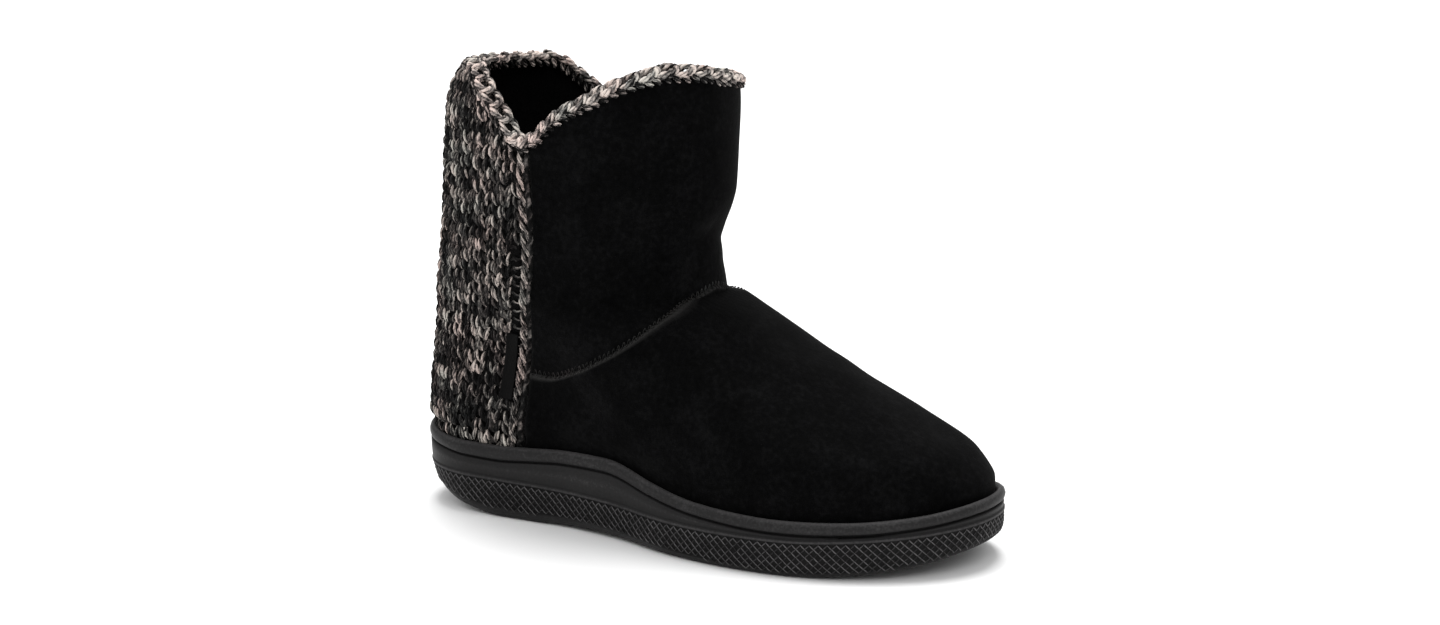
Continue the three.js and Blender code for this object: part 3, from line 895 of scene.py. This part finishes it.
class SLIPPER_OT_sole(bpy.types.Operator):
    """Moulds the cup sole with its side band of fine ribs, ridge, groove and rim"""
    bl_idname = "slipper.sole"
    bl_label = "Cup sole"

    def execute(self, context):
        settings = context.scene.slipper_sole
        self.fine = np.linspace(0, 2 * np.pi, 6001)
        self.length = run_length(outline_point(self.fine))
        angle = self.angle_at(np.arange(settings.columns) * self.length[-1] / settings.columns)
        bed = np.column_stack([spine_point(angle), sole_level("bed", angle)])
        points = np.stack([*self.tread(angle), *self.side(angle), bed])
        faces = grid_faces(len(points), settings.columns, closed=True)
        rubber = rubber_material(settings.rubber), "sole_rubber", "outsole"
        # The cup sole carries painted highlights along the ridge and rim and painted shade in the band and
        # groove.
        make_object("cup_sole", points, faces, *rubber, values={"wear": self.wear(points, angle)})
        (points, faces, places), crest = self.ribs(settings)
        make_object("sole_side_ribs", points, faces, *rubber, places, {"wear": crest})
        return {"FINISHED"}

    def wear(self, points, angle):
        """Painted light on the rubber: painted shade in the ribbed band, the groove and just above the
        ridge, painted highlights along the ridge and the rim.
        """
        ridge, groove, rim = (sole_level(name, angle) for name in ("ridge", "groove", "rim"))
        height = points[..., 2]
        band = smooth(-0.6, 0.4, height - self.band_foot(angle)) * smooth(0.4, 1.0, ridge - height)
        lines = 0.12 * bell(height - ridge, 0.6) - 0.3 * bell(height - ridge - 1.2, 0.5)
        lines = lines - 0.5 * bell(height - groove, 0.6) + 0.14 * bell(height - rim, 0.9)
        side = np.arange(len(points))[:, None] >= TREAD_LOOPS
        return 0.5 + (lines - 0.42 * band) * side

    def band_foot(self, angle):
        """Where the ribbed band ends above the plain foot of the side, which is lower at the toe."""
        floor = sole_level("floor", angle)
        plain = 0.27 - 0.13 * smooth(0.4, 0.75, along_of(angle))
        return floor + plain * (sole_level("ridge", angle) - floor)

    def angle_at(self, place):
        return np.interp(np.mod(place, self.length[-1]), self.length, self.fine)

    def tuck(self, angle, up):
        """How far the heel draws in towards the floor."""
        return HEEL_TUCK * smooth(0.14, 0.01, along_of(angle)) * smooth(13.0, 3.0, up)

    def tread(self, angle):
        """The underside: shallow herringbone grooves cut up from the floor line."""
        floor = sole_level("floor", angle)
        edge, spine = outline_inset(angle, TREAD_INSET + self.tuck(angle, 0.0)), spine_point(angle)
        for share in np.linspace(0, 1, TREAD_LOOPS):
            flat = spine + (edge - spine) * share
            column = np.floor(flat[:, 0] / TREAD_COLUMN)
            lean = np.where(column % 2 == 0, 1.0, -1.0)
            phase = (flat[:, 1] + lean * (flat[:, 0] - column * TREAD_COLUMN)) / TREAD_PITCH
            cut = smooth(0.25, 0.6, np.sin(2 * np.pi * phase)) * smooth(0, 0.06, 1 - share)
            yield np.column_stack([flat, floor + TREAD_DEPTH * cut])

    def side(self, angle):
        """The moulded side, row by row from the floor to the cup."""
        floor = sole_level("floor", angle)
        for (level, rise, inset, count), after in zip(SOLE_SIDE, SOLE_SIDE[1:] + SOLE_SIDE[-1:]):
            low, high = sole_level(level, angle) + rise, sole_level(after[0], angle) + after[1]
            for share in np.arange(count) / count:
                height = low + (high - low) * share
                inward = inset + (after[2] - inset) * share + self.tuck(angle, height - floor)
                yield np.column_stack([outline_inset(angle, inward), height])

    def band_point(self, place, height, proud):
        """A point on the band below the ridge, and the way out from it."""
        angle = self.angle_at(place)
        up = height - sole_level("floor", angle)
        inset = np.interp(up, BAND_RISE, BAND_INSET) + self.tuck(angle, up)
        flat = outline_inset(angle, inset - proud)
        out = unit(flat - outline_inset(angle, inset + 1.0))
        return np.concatenate([flat, height[..., None]], -1), np.concatenate([out, 0 * out[..., :1]], -1)

    def ribs(self, settings):
        """Short slanted bars that meet in small diamonds, those that fall towards the toe palest as a
        painted highlight.
        """
        width = self.length[-1] / (2 * round(self.length[-1] / (2 * settings.rib_width / MM)))
        pitch, size = settings.rib_pitch / MM, settings.rib_size / MM
        columns = np.arange(round(self.length[-1] / width))
        column, rib = (a.ravel() for a in np.meshgrid(columns, np.arange(RIB_ROWS)))
        centre = (column + 0.5) * width
        angle = self.angle_at(centre)
        lean = np.where((column + rib) % 2 == 0, 1.0, -1.0)
        height = sole_level("ridge", angle) - 2.0 - rib * pitch
        keep = height > self.band_foot(angle)
        centre, height, lean, rib = (a[keep][:, None] for a in (centre, height, lean, rib))
        s = np.linspace(-1, 1, 4)
        place = centre + RIB_REACH * width * s
        rise = height + lean * RIB_REACH * pitch * s
        proud = size * (0.3 - 0.12 * lean - 0.55 * np.abs(s) ** 4) + 0 * rise
        path, out = self.band_point(place, rise, proud)
        radius = np.full(rise.shape, size) * (1 - 0.25 * np.abs(s) ** 4)
        chance = np.random.default_rng(14).normal(1.0, 0.16, lean.shape)
        # Painted highlights: bars leaning one way and the top row are paler; the random share is tone that
        # varies.
        worn = np.where(lean < 0, 0.88, 0.56) * chance + 0.16 * (rib == 0)
        crest = np.tile(RIB_PAINTED_LIGHT, (len(lean), len(s), 1)) * worn[..., None]
        return tube_mesh(path, radius, out), crest.ravel()


class SLIPPER_OT_footbed(bpy.types.Operator):
    """Lays the fleece-topped footbed in the cup"""
    bl_idname = "slipper.footbed"
    bl_label = "Footbed"

    def execute(self, context):
        angle = np.linspace(0, 2 * np.pi, FOOTBED_COLUMNS, endpoint=False)
        bed = sole_level("bed", angle)
        edge = RIM_WALL + SEAT_GAP + WALL + BED_GAP
        spine, rim = spine_point(angle), outline_inset(angle, edge + 1.4)
        loops = [np.column_stack([spine, bed + BED_GAP])]
        for rise, inset in ((BED_GAP, 0.0), (INSOLE - 1.6, 0.0), (INSOLE - 0.6, 0.5)):
            loops.append(np.column_stack([outline_inset(angle, edge + inset), bed + rise]))
        for share in np.linspace(0, 1, 40):
            points = np.column_stack([rim + (spine - rim) * share, bed + INSOLE])
            points[:, 2] += 0.35 * soft_noise(points, 7.0, 5) - 0.35
            loops.append(points)
        faces = grid_faces(len(loops), FOOTBED_COLUMNS, closed=True)
        colour = dyed(context.scene.slipper_upper.lining, 1.6)
        material = fleece_material("Footbed fleece", colour, 380.0)
        piece = make_object("footbed", np.stack(loops), faces, material, "footbed_fleece", "insole")
        return {"FINISHED"}


class SLIPPER_OT_suede(bpy.types.Operator):
    """Cuts the suede toe part and front shaft panel, lapped along the instep"""
    bl_idname = "slipper.suede"
    bl_label = "Suede upper"

    def execute(self, context):
        settings = context.scene.slipper_upper
        material = suede_material(settings.suede, settings.raw_edge)
        half = SEAM + SEAM_STEP + (1 - SEAM - SEAM_STEP) * np.linspace(0, 1, 81) ** 1.05
        girth = np.concatenate([half, -half[-2::-1]])
        instep = instep_height(girth)
        low, high = seat_height(girth), instep + 0.1
        share = np.concatenate([np.linspace(0, 0.985, 92), 1 - 0.015 * np.linspace(0.8, 0, 5)])
        toe_rows = low + (high - low) * share[:, None]
        _, shaft_rows = face_grid(girth, instep - SHAFT_LAP, collar_height(girth), 100)
        self.panel("suede_toe_part", girth, toe_rows, material, settings.crease, True)
        self.panel("suede_shaft_front", girth, shaft_rows, material, settings.crease, False)
        self.thread(settings.raw_edge)
        return {"FINISHED"}

    def thread(self, colour):
        """Zigzag stitches that hold the toe part's cut edge on the shaft."""
        rng = np.random.default_rng(17)
        fine = SEAM + 0.006 + (2 - 2 * SEAM - 0.012) * np.linspace(0, 1, 2001)
        length = run_length(face_point(wrap(fine), instep_height(wrap(fine))))
        count = 2 * round(length[-1] / ZIGZAG_PITCH)
        s = np.linspace(0, 1, 6)
        way = np.where(np.arange(count) % 2 == 0, 1.0, -1.0)[:, None]
        place = (np.arange(count)[:, None] + s) * length[-1] / count
        girth = wrap(np.interp(place, length, fine))
        up = 0.75 - way * 1.35 * np.cos(np.pi * s) + rng.normal(0, 0.12, (count, 1))
        out = np.where(up < 0.1, VAMP_LIP + 0.05, 0.1) + 0.3 * np.sin(np.pi * s) - 0.1
        point, _, rise, normal = face_frame(girth, instep_height(girth))
        path = moved(point, (rise, up), (normal, out))
        mesh = tube_mesh(path, np.full(place.shape, ZIGZAG_RADIUS), normal)
        dark, pale = shades(colour, 0.3, 2.2)
        material = yarn_material("Instep thread", dark, colour, pale, 0.25)
        parts = [(mesh, rng.normal(0.5, 0.12, count))]
        make_yarn("instep_zigzag_thread", parts, material, "suede", "upper")

    def panel(self, name, girth, height, material, crease, toe):
        girth = np.broadcast_to(girth, height.shape)
        below = instep_height(girth) - height
        above_rim = height - rim_height(girth)
        pucker = np.sin(np.abs(girth) * 300.0) * np.exp(-np.abs(below) / 5.0) * 0.16
        folds = crease * crease_depth(girth, height) * smooth(0, 12, above_rim)
        drape = 0.3 * soft_noise(face_point(girth, height), 46.0, 11) * smooth(0, 14, above_rim)
        if toe:
            lip = VAMP_LIP * np.clip(1 - below / VAMP_FADE, 0, 1) ** 2
            roll = -0.9 * smooth(0.9, 0.0, below) ** 2
            out = lip + roll + folds + drape + pucker
            raw = smooth(1.5 + 1.6 * smooth(0.53, 0.48, np.abs(girth)), 0.5, below)
        else:
            out = folds + drape + pucker * 0.5 - 0.9 * smooth(1.5, -1.0, -below) * (below > -1.5)
            raw = np.zeros(height.shape)
        out = out * smooth(0.0, 0.03, np.abs(girth) - SEAM + 0.012)
        outs = out, np.minimum(out - 1.2, -0.6)
        edge = {"raw_edge": np.stack([raw, raw * 0.9])}
        make_shell(name, girth, height, outs, material, "suede", "upper", values=edge)


class SLIPPER_OT_lining(bpy.types.Operator):
    """Lines the boot with dark fleece"""
    bl_idname = "slipper.lining"
    bl_label = "Fleece lining"

    def execute(self, context):
        half = np.linspace(0, 1, 81)
        girth = np.concatenate([half, -half[-2:0:-1]])
        low, high = seat_height(girth), collar_height(girth)
        girth, height = face_grid(girth, low, high, 80)
        base = face_point(girth, height)
        pile = 0.45 * soft_noise(base, 6.0, 3) + 0.35 * soft_noise(base, 3.1, 4)
        free = smooth(0, 6, height - low) * smooth(0, 4, high - height)
        outs = LINING_BACK, -WALL + free * (pile - 0.2)
        material = fleece_material("Fleece lining", context.scene.slipper_upper.lining, 330.0)
        make_shell("fleece_lining", girth, height, outs, material, "suede", "upper", closed=True)
        return {"FINISHED"}


class SLIPPER_OT_knit(bpy.types.Operator):
    """Knits the ribbed marl back, stitch by stitch"""
    bl_idname = "slipper.knit"
    bl_label = "Knit back"

    def execute(self, context):
        settings = context.scene.slipper_knit
        self.backing(settings)
        rng = np.random.default_rng(21)
        pitch = settings.row_pitch / MM
        rows = np.arange(int(KNIT_RISE / pitch)) * pitch + KNIT_FOOT
        repeat = 2 * LADDER_START / settings.ribs
        left = -LADDER_START + repeat * np.arange(settings.ribs)
        material = yarn_material("Marl knit yarn", settings.dark, settings.middle, settings.light, 0.12)
        wales = np.sort(np.concatenate([left + wale * repeat for wale in RIB_WALES]))
        girth, height, tone = self.stitches(rng, wales, rows)
        beside = np.where(girth > 0, LADDER_START + KNIT_LAST, -LADDER_START - KNIT_LAST)
        last = (np.abs(girth) > wales[-1] - 0.001) & ((height > LADDER_TOP) | (height < LADDER_FOOT))
        pairs = (girth, beside), (height, height), (tone, tone)
        girth, height, tone = (np.concatenate([a, b[last]]) for a, b in pairs)
        second = np.mod((girth + LADDER_START) / repeat, 1.0) > sum(RIB_WALES) / 2
        share = (RIB_WALES[1] - RIB_WALES[0]) * repeat
        legs = [self.leg(rng, girth, height, side, share, pitch, second == (side > 0)) for side in (-1, 1)]
        for (name, _, _), *halves in zip(PLIES, *(plied(*leg) for leg in legs)):
            tones = tone + halves[0][1] + rng.normal(0, 0.11, (2, len(girth)))
            parts = [(mesh, half) for (mesh, _), half in zip(halves, tones)]
            make_yarn(f"marl_knit_{name}_ply", parts, material, "marl_knit", "knit_back")
        girth, height, tone = self.stitches(rng, left + FURROW * repeat, rows)
        # The sunk purl bumps take a darker tone: painted shade in the furrows between the ribs.
        parts = [(self.purl(rng, girth, height, FURROW_WIDTH * repeat), tone - 0.3)]
        make_yarn("marl_knit_furrows", parts, material, "marl_knit", "knit_back")
        return {"FINISHED"}

    def stitches(self, rng, wales, rows):
        """Places of the stitches below the collar, and their yarn tones: the marl changes along each row."""
        girth, height = (a.ravel() for a in np.meshgrid(wales, rows))
        row = np.repeat(np.arange(len(rows)), len(wales))
        keep = (height > rim_height(girth) - 3.0) & (height < collar_height(girth) - 0.5)
        girth, height, row = girth[keep], height[keep], row[keep]
        start = np.random.default_rng(5).uniform(0, 9, len(rows) + 1)
        run = 0.55 * np.sin(girth * 17.0 + start[row]) + 0.45 * np.sin(girth * 41.0 + 2.3 * start[row])
        patch = soft_noise(face_point(girth, height) * [1.0, 1.0, 1.5], 26.0, 9)
        tone = 0.40 + 0.08 * run + 0.13 * patch + rng.normal(0, 0.16, len(girth))
        return girth, height, tone

    def width(self, girth, height, share):
        """The width in millimetres of a share of the girth."""
        span = face_point(girth + share / 2, height) - face_point(girth - share / 2, height)
        return np.linalg.norm(span, axis=1)[:, None]

    def leg(self, rng, girth, height, side, share, pitch, outer):
        """One slanting half of each stitch's V; a rib's outer halves fall away to the furrow."""
        point, across, rise, normal = (a[:, None] for a in face_frame(girth, height))
        width = self.width(girth, height, share)
        s = np.linspace(0, 1, 5)
        each = len(girth), 1
        lean = side * width * (0.05 + 0.52 * s ** 0.85) * rng.uniform(0.8, 1.2, each)
        lift = pitch * (-0.58 + 1.18 * s) + rng.normal(0, 0.4, each)
        out = -1.7 + 1.2 * np.sin(np.pi * (0.1 + 0.82 * s)) + rng.normal(0, 0.18, each)
        at_rim = bell(height - rim_height(girth) - 2.5, 4.0)
        out = out + 2.2 * at_rim[:, None] - 0.45 * outer[:, None] * s
        paths = moved(point, (across, lean), (rise, lift), (normal, out))
        radius = width * 0.124 * (0.5 + 0.55 * np.sin(np.pi * (0.06 + 0.86 * s)) ** 0.8)
        radius = radius * rng.uniform(0.86, 1.14, each)
        turn = rng.uniform(0, 2 * np.pi, each) + side * 2 * np.pi * rng.uniform(0.15, 0.7, each) * s
        return paths, radius, normal, turn

    def purl(self, rng, girth, height, share):
        """The sunk bumps between the ribs."""
        point, across, rise, normal = (a[:, None] for a in face_frame(girth, height))
        width = self.width(girth, height, share)
        s = np.linspace(-1, 1, 5)
        each = len(girth), 1
        lift = 0.9 * np.cos(s * np.pi / 2) + rng.normal(0, 0.25, each)
        out = -1.75 + 0.45 * np.cos(s * np.pi / 2) + 0 * lift
        paths = moved(point, (across, width * 0.75 * s), (rise, lift), (normal, out))
        radius = np.full(lift.shape, 0.62) * rng.uniform(0.85, 1.15, each)
        return tube_mesh(paths, radius, normal)

    def backing(self, settings):
        """The felted reverse that shows dark between stitches."""
        girth = np.linspace(-KNIT_END, KNIT_END, 91)
        girth, height = face_grid(girth, seat_height(girth), collar_height(girth), 52)
        colour = dyed(settings.dark, 0.45)
        material = fleece_material("Knit reverse", colour, 700.0)
        make_shell("knit_reverse", girth, height, KNIT_REVERSE, material, "marl_knit", "knit_back")


class SLIPPER_OT_binding(bpy.types.Operator):
    """Crochets the cord over the collar edge"""
    bl_idname = "slipper.binding"
    bl_label = "Collar cord"

    def execute(self, context):
        settings = context.scene.slipper_knit
        rng = np.random.default_rng(8)
        half = np.linspace(0, 1, 1501)
        self.girth = np.concatenate([half, 2 - half[-2::-1]])
        self.place = run_length(face_point(wrap(self.girth), collar_height(wrap(self.girth))))
        self.length = self.place[-1]
        count = round(self.length / (settings.cord_pitch / MM))
        parts = [self.core(), *self.loops(rng, count)]
        for face in CORD_SIDES:
            parts.extend(self.wraps(rng, count, *face))
        middle, light = dyed(settings.middle, 2.4), dyed(settings.light, 1.25)
        material = yarn_material("Marl crochet yarn", settings.dark, middle, light, 0.17)
        make_yarn("collar_cord", parts, material, "collar_yarn", "collar_binding")
        return {"FINISHED"}

    def along(self, place, out, up):
        """Points beside the collar edge: a place along it, out from the face and up from the edge."""
        girth = wrap(np.interp(np.mod(place, self.length), self.place, self.girth))
        point, _, _, normal = face_frame(girth, collar_height(girth))
        out = out - 1.5 * smooth(0.42, 0.2, np.abs(girth))
        ahead, behind = wrap(girth + 0.003), wrap(girth - 0.003)
        run = unit(face_point(ahead, collar_height(ahead)) - face_point(behind, collar_height(behind)))
        rise = unit(np.cross(normal, run))
        return moved(point, (normal, out), (rise, up)), normal, rise

    def core(self):
        """The dark rolled edge that shows through the holes of the crochet."""
        place = np.linspace(0, self.length, 420, endpoint=False)[None]
        path, _, rise = self.along(place, np.full(place.shape, -1.9), np.full(place.shape, 0.6))
        mesh = tube_mesh(path, np.full(place.shape, CORE_RADIUS), rise, sides=10, flat=1.05, closed=True)
        return mesh, [0.02]

    def loops(self, rng, count):
        """A chain of oval loops over the edge, each laid over the next, with a dark hole in each."""
        pitch = self.length / count
        each = count, 1
        turn = np.linspace(0, 2 * np.pi, 32, endpoint=False)
        start = (np.arange(count) + rng.normal(0, 0.04, count))[:, None] * pitch
        side = np.sin(turn) * (1 - 0.2 * np.cos(turn)) * rng.uniform(0.92, 1.08, each)
        lift = 0.75 * np.cos(turn) + rng.normal(0, 0.12, each)
        up = 3.5 - 1.35 * side - 0.4 * side ** 2 + 0.85 * lift
        place, out = start + 0.6 * pitch * np.cos(turn), CORD_MIDDLE + 2.4 * side + 0.5 * lift
        path, normal, rise = self.along(place, out, up)
        lump = 1 + 0.14 * np.sin(2 * turn + rng.uniform(0, 6.28, each))
        radius = 0.74 * (1 - 0.16 * np.cos(turn) ** 2) * lump * rng.uniform(0.9, 1.1, each)
        plies = plied(path, radius, 0.87 * rise + 0.5 * normal, 4 * turn, closed=True)
        return self.toned(rng, plies, count, LOOP_TONE)

    def wraps(self, rng, count, out, top, drop, lean, tone):
        """Slanted stitches from the chain down over one face of the edge, two to a loop."""
        pitch = self.length / count
        count = 2 * count
        each = count, 1
        s = np.linspace(0, 1, 8)
        start = (np.arange(count) / 2 + rng.normal(0, 0.04, count))[:, None] * pitch
        place = start + 0.34 * lean * pitch * (s - 0.5)
        up = top - drop * s + rng.normal(0, 0.15, each)
        path, normal, _ = self.along(place, out + 0.35 * np.sign(lean) * np.sin(np.pi * s) + 0 * up, up)
        radius = 0.5 * (0.75 + 0.35 * np.sin(np.pi * s)) * rng.uniform(0.88, 1.12, each)
        turn = rng.uniform(0, 6.28, each) + 5.0 * s
        return self.toned(rng, plied(path, radius, normal, turn), count, tone)

    def toned(self, rng, plies, count, middle):
        tone = rng.normal(middle, 0.16, count)
        return [(mesh, tone + shift) for mesh, shift in plies]


class SLIPPER_OT_braids(bpy.types.Operator):
    """Works the raised braid and its ladder of stitches over each side seam"""
    bl_idname = "slipper.braids"
    bl_label = "Seam braids"

    def execute(self, context):
        settings = context.scene.slipper_knit
        middle, light = dyed(settings.middle, 1.4), dyed(settings.light, 0.9)
        material = yarn_material("Seam braid yarn", settings.dark, middle, light, 0.2)
        for name, side, seed in (("lateral", 1, 3), ("medial", -1, 4)):
            rng = np.random.default_rng(seed)
            parts = [*self.chain(rng, side), self.edge_strand(side), self.rungs(rng, side), self.bed(side)]
            make_yarn(f"seam_braid_yarn_{name}", parts, material, "seam_yarn", f"seam_braid_{name}")
        return {"FINISHED"}

    def span(self, side):
        girth = np.array(BRAID_MIDDLE * side)
        return float(rim_height(girth)) - 1.5, float(collar_height(girth)) + 1.5

    def chain(self, rng, side):
        """Pale links that slant down to the suede, with darker ones crossing beneath them."""
        low, high = self.span(side)
        s = np.linspace(0, 1, 11)
        parts = []
        for way, base, size, middle in CHAIN_LINKS:
            top = np.arange(low + 4.0 + 1.7 * way, high + 2.0, LINK_PITCH)
            each = len(top), 1
            top = top + rng.normal(0, 0.5, len(top))
            height = np.minimum(top[:, None] - LINK_LENGTH * s + 1.2, high + 1.0)
            point, across, _, normal = face_frame(chain_share(height) * side, height)
            sway = way * side * 1.45 * np.sin(np.pi * (s - 0.5)) * rng.uniform(0.8, 1.2, each)
            out = base + 0.6 * np.sin(np.pi * s) + rng.normal(0, 0.1, each)
            path = moved(point, (across, sway), (normal, out))
            radius = 0.48 * size * (0.5 + 0.55 * np.sin(np.pi * s)) * rng.uniform(0.85, 1.15, each)
            turn = rng.uniform(0, 6.28, each) + 8.0 * s
            tone = rng.normal(middle, 0.12, len(top))
            parts.extend((mesh, tone + 0.6 * shift) for mesh, shift in plied(path, radius, normal, turn))
        return parts

    def edge_strand(self, side):
        """The dark yarn that fills in between the chain and the suede."""
        low, high = self.span(side)
        height = np.linspace(low, high - 3, 200)[None]
        girth = (chain_share(height) + SEAM + SEAM_STEP) / 2 * side + 0.0016 * side
        point, across, _, normal = face_frame(girth, height)
        turn = 2 * np.pi * height / 5.2
        path = moved(point, (across, 0.35 * np.cos(turn)), (normal, -0.35 + 0.25 * np.sin(turn)))
        mesh = tube_mesh(path, 1.15 + 0.15 * np.sin(turn + 1.0), normal, sides=8)
        return mesh, 0.24 + 0.14 * np.sin(height[0] / 3.1) + 0.1 * np.sin(height[0] / 1.3)

    def rungs(self, rng, side):
        """Level stitches across the sunk channel behind the chain."""
        height = np.arange(LADDER_FOOT, LADDER_TOP, RUNG_PITCH)
        girth = (chain_share(height) - 0.021) * side
        point, across, rise, normal = (a[:, None] for a in face_frame(girth, height))
        s = np.linspace(-1, 1, 9)
        each = len(height), 1
        lift = -0.55 * np.cos(s * np.pi / 2) + rng.normal(0, 0.25, each) * s
        out = -1.05 + 0.6 * np.cos(s * np.pi / 2) + 0 * lift
        path = moved(point, (across, RUNG_HALF * s), (rise, lift), (normal, out))
        radius = np.full(out.shape, 0.45) * rng.uniform(0.7, 1.25, each)
        return tube_mesh(path, radius, normal), rng.normal(0.38, 0.16, len(height))

    def bed(self, side):
        """The dark sunk channel under the stitches."""
        girth = np.sort(np.linspace(KNIT_END + 0.001, SEAM - 0.001, 9) * side)
        girth, height = face_grid(girth, seat_height(girth), collar_height(girth), 60)
        points = np.concatenate([face_offset(girth, height, out) for out in CHANNEL]).reshape(-1, 3)
        faces = shell_faces(*height.shape)
        return (points, faces, np.zeros((faces.size, 2))), [0.16]


class SLIPPER_OT_tab(bpy.types.Operator):
    """Sews the bare folded tab beside the outer seam"""
    bl_idname = "slipper.tab"
    bl_label = "Side tab"

    def execute(self, context):
        across, up = np.meshgrid(np.linspace(0, 1, 15), np.linspace(0, 1, 45))
        girth = TAB_START + (TAB_END - TAB_START) * across
        height = TAB_LOW + (TAB_HIGH - TAB_LOW) * up + 0.4 * (1 - across)
        fold = 0.45 * bell(across, 0.16)
        curl = 0.4 * (1 - across) ** 2 * (0.6 + 0.4 * np.cos(up * 5.0))
        hem = 0.12 * np.exp(-(((up - 0.5) / 0.46) ** 30))
        out = 0.55 + fold + curl + hem
        colour = dyed(context.scene.slipper_knit.dark, 0.35)
        material = ribbon_material(colour)
        make_shell("bare_tab", girth, height, (out, out - TAB_THICKNESS), material, "woven_tab", "side_tab")
        return {"FINISHED"}


class SLIPPER_OT_stage(bpy.types.Operator):
    """Sets the pale floor, the soft studio light and the camera"""
    bl_idname = "slipper.stage"
    bl_label = "Stage"

    def execute(self, context):
        settings = context.scene.slipper_stage
        self.floor(settings)
        for light in STUDIO_LIGHTS:
            self.light(*light)
        world = bpy.data.worlds.new("Studio")
        world.use_nodes = True
        tree = world.node_tree
        seen = node(tree, "ShaderNodeLightPath").outputs["Is Camera Ray"]
        strength = scaled(tree, seen, 1.0 - SOFT_LIGHT, SOFT_LIGHT)
        fill(tree, tree.nodes["Background"].inputs, {"Color": (1.0, 1.0, 1.0, 1.0), "Strength": strength})
        context.scene.world = world
        context.scene.view_settings.view_transform = "Standard"
        self.camera(context.scene, settings)
        return {"FINISHED"}

    def floor(self, settings):
        spread = np.linspace(-FLOOR_HALF, FLOOR_HALF, FLOOR_POINTS)
        x, y = np.meshgrid(spread, spread)
        points, faces = np.stack([x, y, 0 * x], -1).reshape(-1, 3), grid_faces(FLOOR_POINTS, FLOOR_POINTS)
        mesh = bpy.data.meshes.new("floor")
        mesh.from_pydata(points.tolist(), [], faces.tolist())
        mesh.materials.append(floor_material(settings.floor))
        floor = bpy.data.objects.new("floor", mesh)
        bpy.context.scene.collection.objects.link(floor)

    def light(self, name, place, spread, strength):
        lamp = bpy.data.lights.new(name, "SUN")
        lamp.angle, lamp.energy = math.radians(spread), strength
        piece = bpy.data.objects.new(name, lamp)
        piece.location = place
        piece.rotation_euler = (-Vector(place)).to_track_quat("-Z", "Y").to_euler()
        bpy.context.scene.collection.objects.link(piece)

    def camera(self, scene, settings):
        turn, rise = settings.azimuth, settings.elevation
        back = Vector((math.sin(turn) * math.cos(rise), -math.cos(turn) * math.cos(rise), math.sin(rise)))
        right = Vector((math.cos(turn), math.sin(turn), 0.0))
        target = Vector((CAMERA_TARGET[0], -MIDDLE[1] * MM, CAMERA_TARGET[1]))
        data = bpy.data.cameras.new("camera")
        data.lens, data.sensor_width = settings.lens, 36.0
        camera = bpy.data.objects.new("camera", data)
        camera.location = target + back * settings.distance
        aim = target + right * CAMERA_AIM[0] + back.cross(right) * CAMERA_AIM[1]
        camera.rotation_euler = (aim - camera.location).to_track_quat("-Z", "Y").to_euler()
        scene.collection.objects.link(camera)
        scene.camera = camera


OPERATORS = (
    SLIPPER_OT_stage,
    SLIPPER_OT_sole,
    SLIPPER_OT_footbed,
    SLIPPER_OT_suede,
    SLIPPER_OT_lining,
    SLIPPER_OT_knit,
    SLIPPER_OT_binding,
    SLIPPER_OT_braids,
    SLIPPER_OT_tab,
)
SETTINGS = {
    "slipper_sole": SlipperSoleSettings,
    "slipper_upper": SlipperUpperSettings,
    "slipper_knit": SlipperKnitSettings,
    "slipper_stage": SlipperStageSettings,
}


class SLIPPER_PT_panel(bpy.types.Panel):
    """Lists the pieces of the boot"""
    bl_idname = "SLIPPER_PT_panel"
    bl_label = "Slipper boot"
    bl_space_type = "VIEW_3D"
    bl_region_type = "UI"
    bl_category = "Slipper boot"

    def draw(self, context):
        for operator in OPERATORS:
            self.layout.operator(operator.bl_idname)
        for name, settings in SETTINGS.items():
            box = self.layout.box()
            for key in settings.__annotations__:
                box.prop(getattr(context.scene, name), key)


def register():
    for name, settings in SETTINGS.items():
        bpy.utils.register_class(settings)
        setattr(bpy.types.Scene, name, PointerProperty(type=settings))
    for cls in (*OPERATORS, SLIPPER_PT_panel):
        bpy.utils.register_class(cls)


def unregister():
    for cls in (SLIPPER_PT_panel, *reversed(OPERATORS)):
        bpy.utils.unregister_class(cls)
    for name, settings in reversed(SETTINGS.items()):
        delattr(bpy.types.Scene, name)
        bpy.utils.unregister_class(settings)


def main():
    register()
    for operator in OPERATORS:
        group, name = operator.bl_idname.split(".")
        getattr(getattr(bpy.ops, group), name)()


if __name__ == "__main__":
    main()
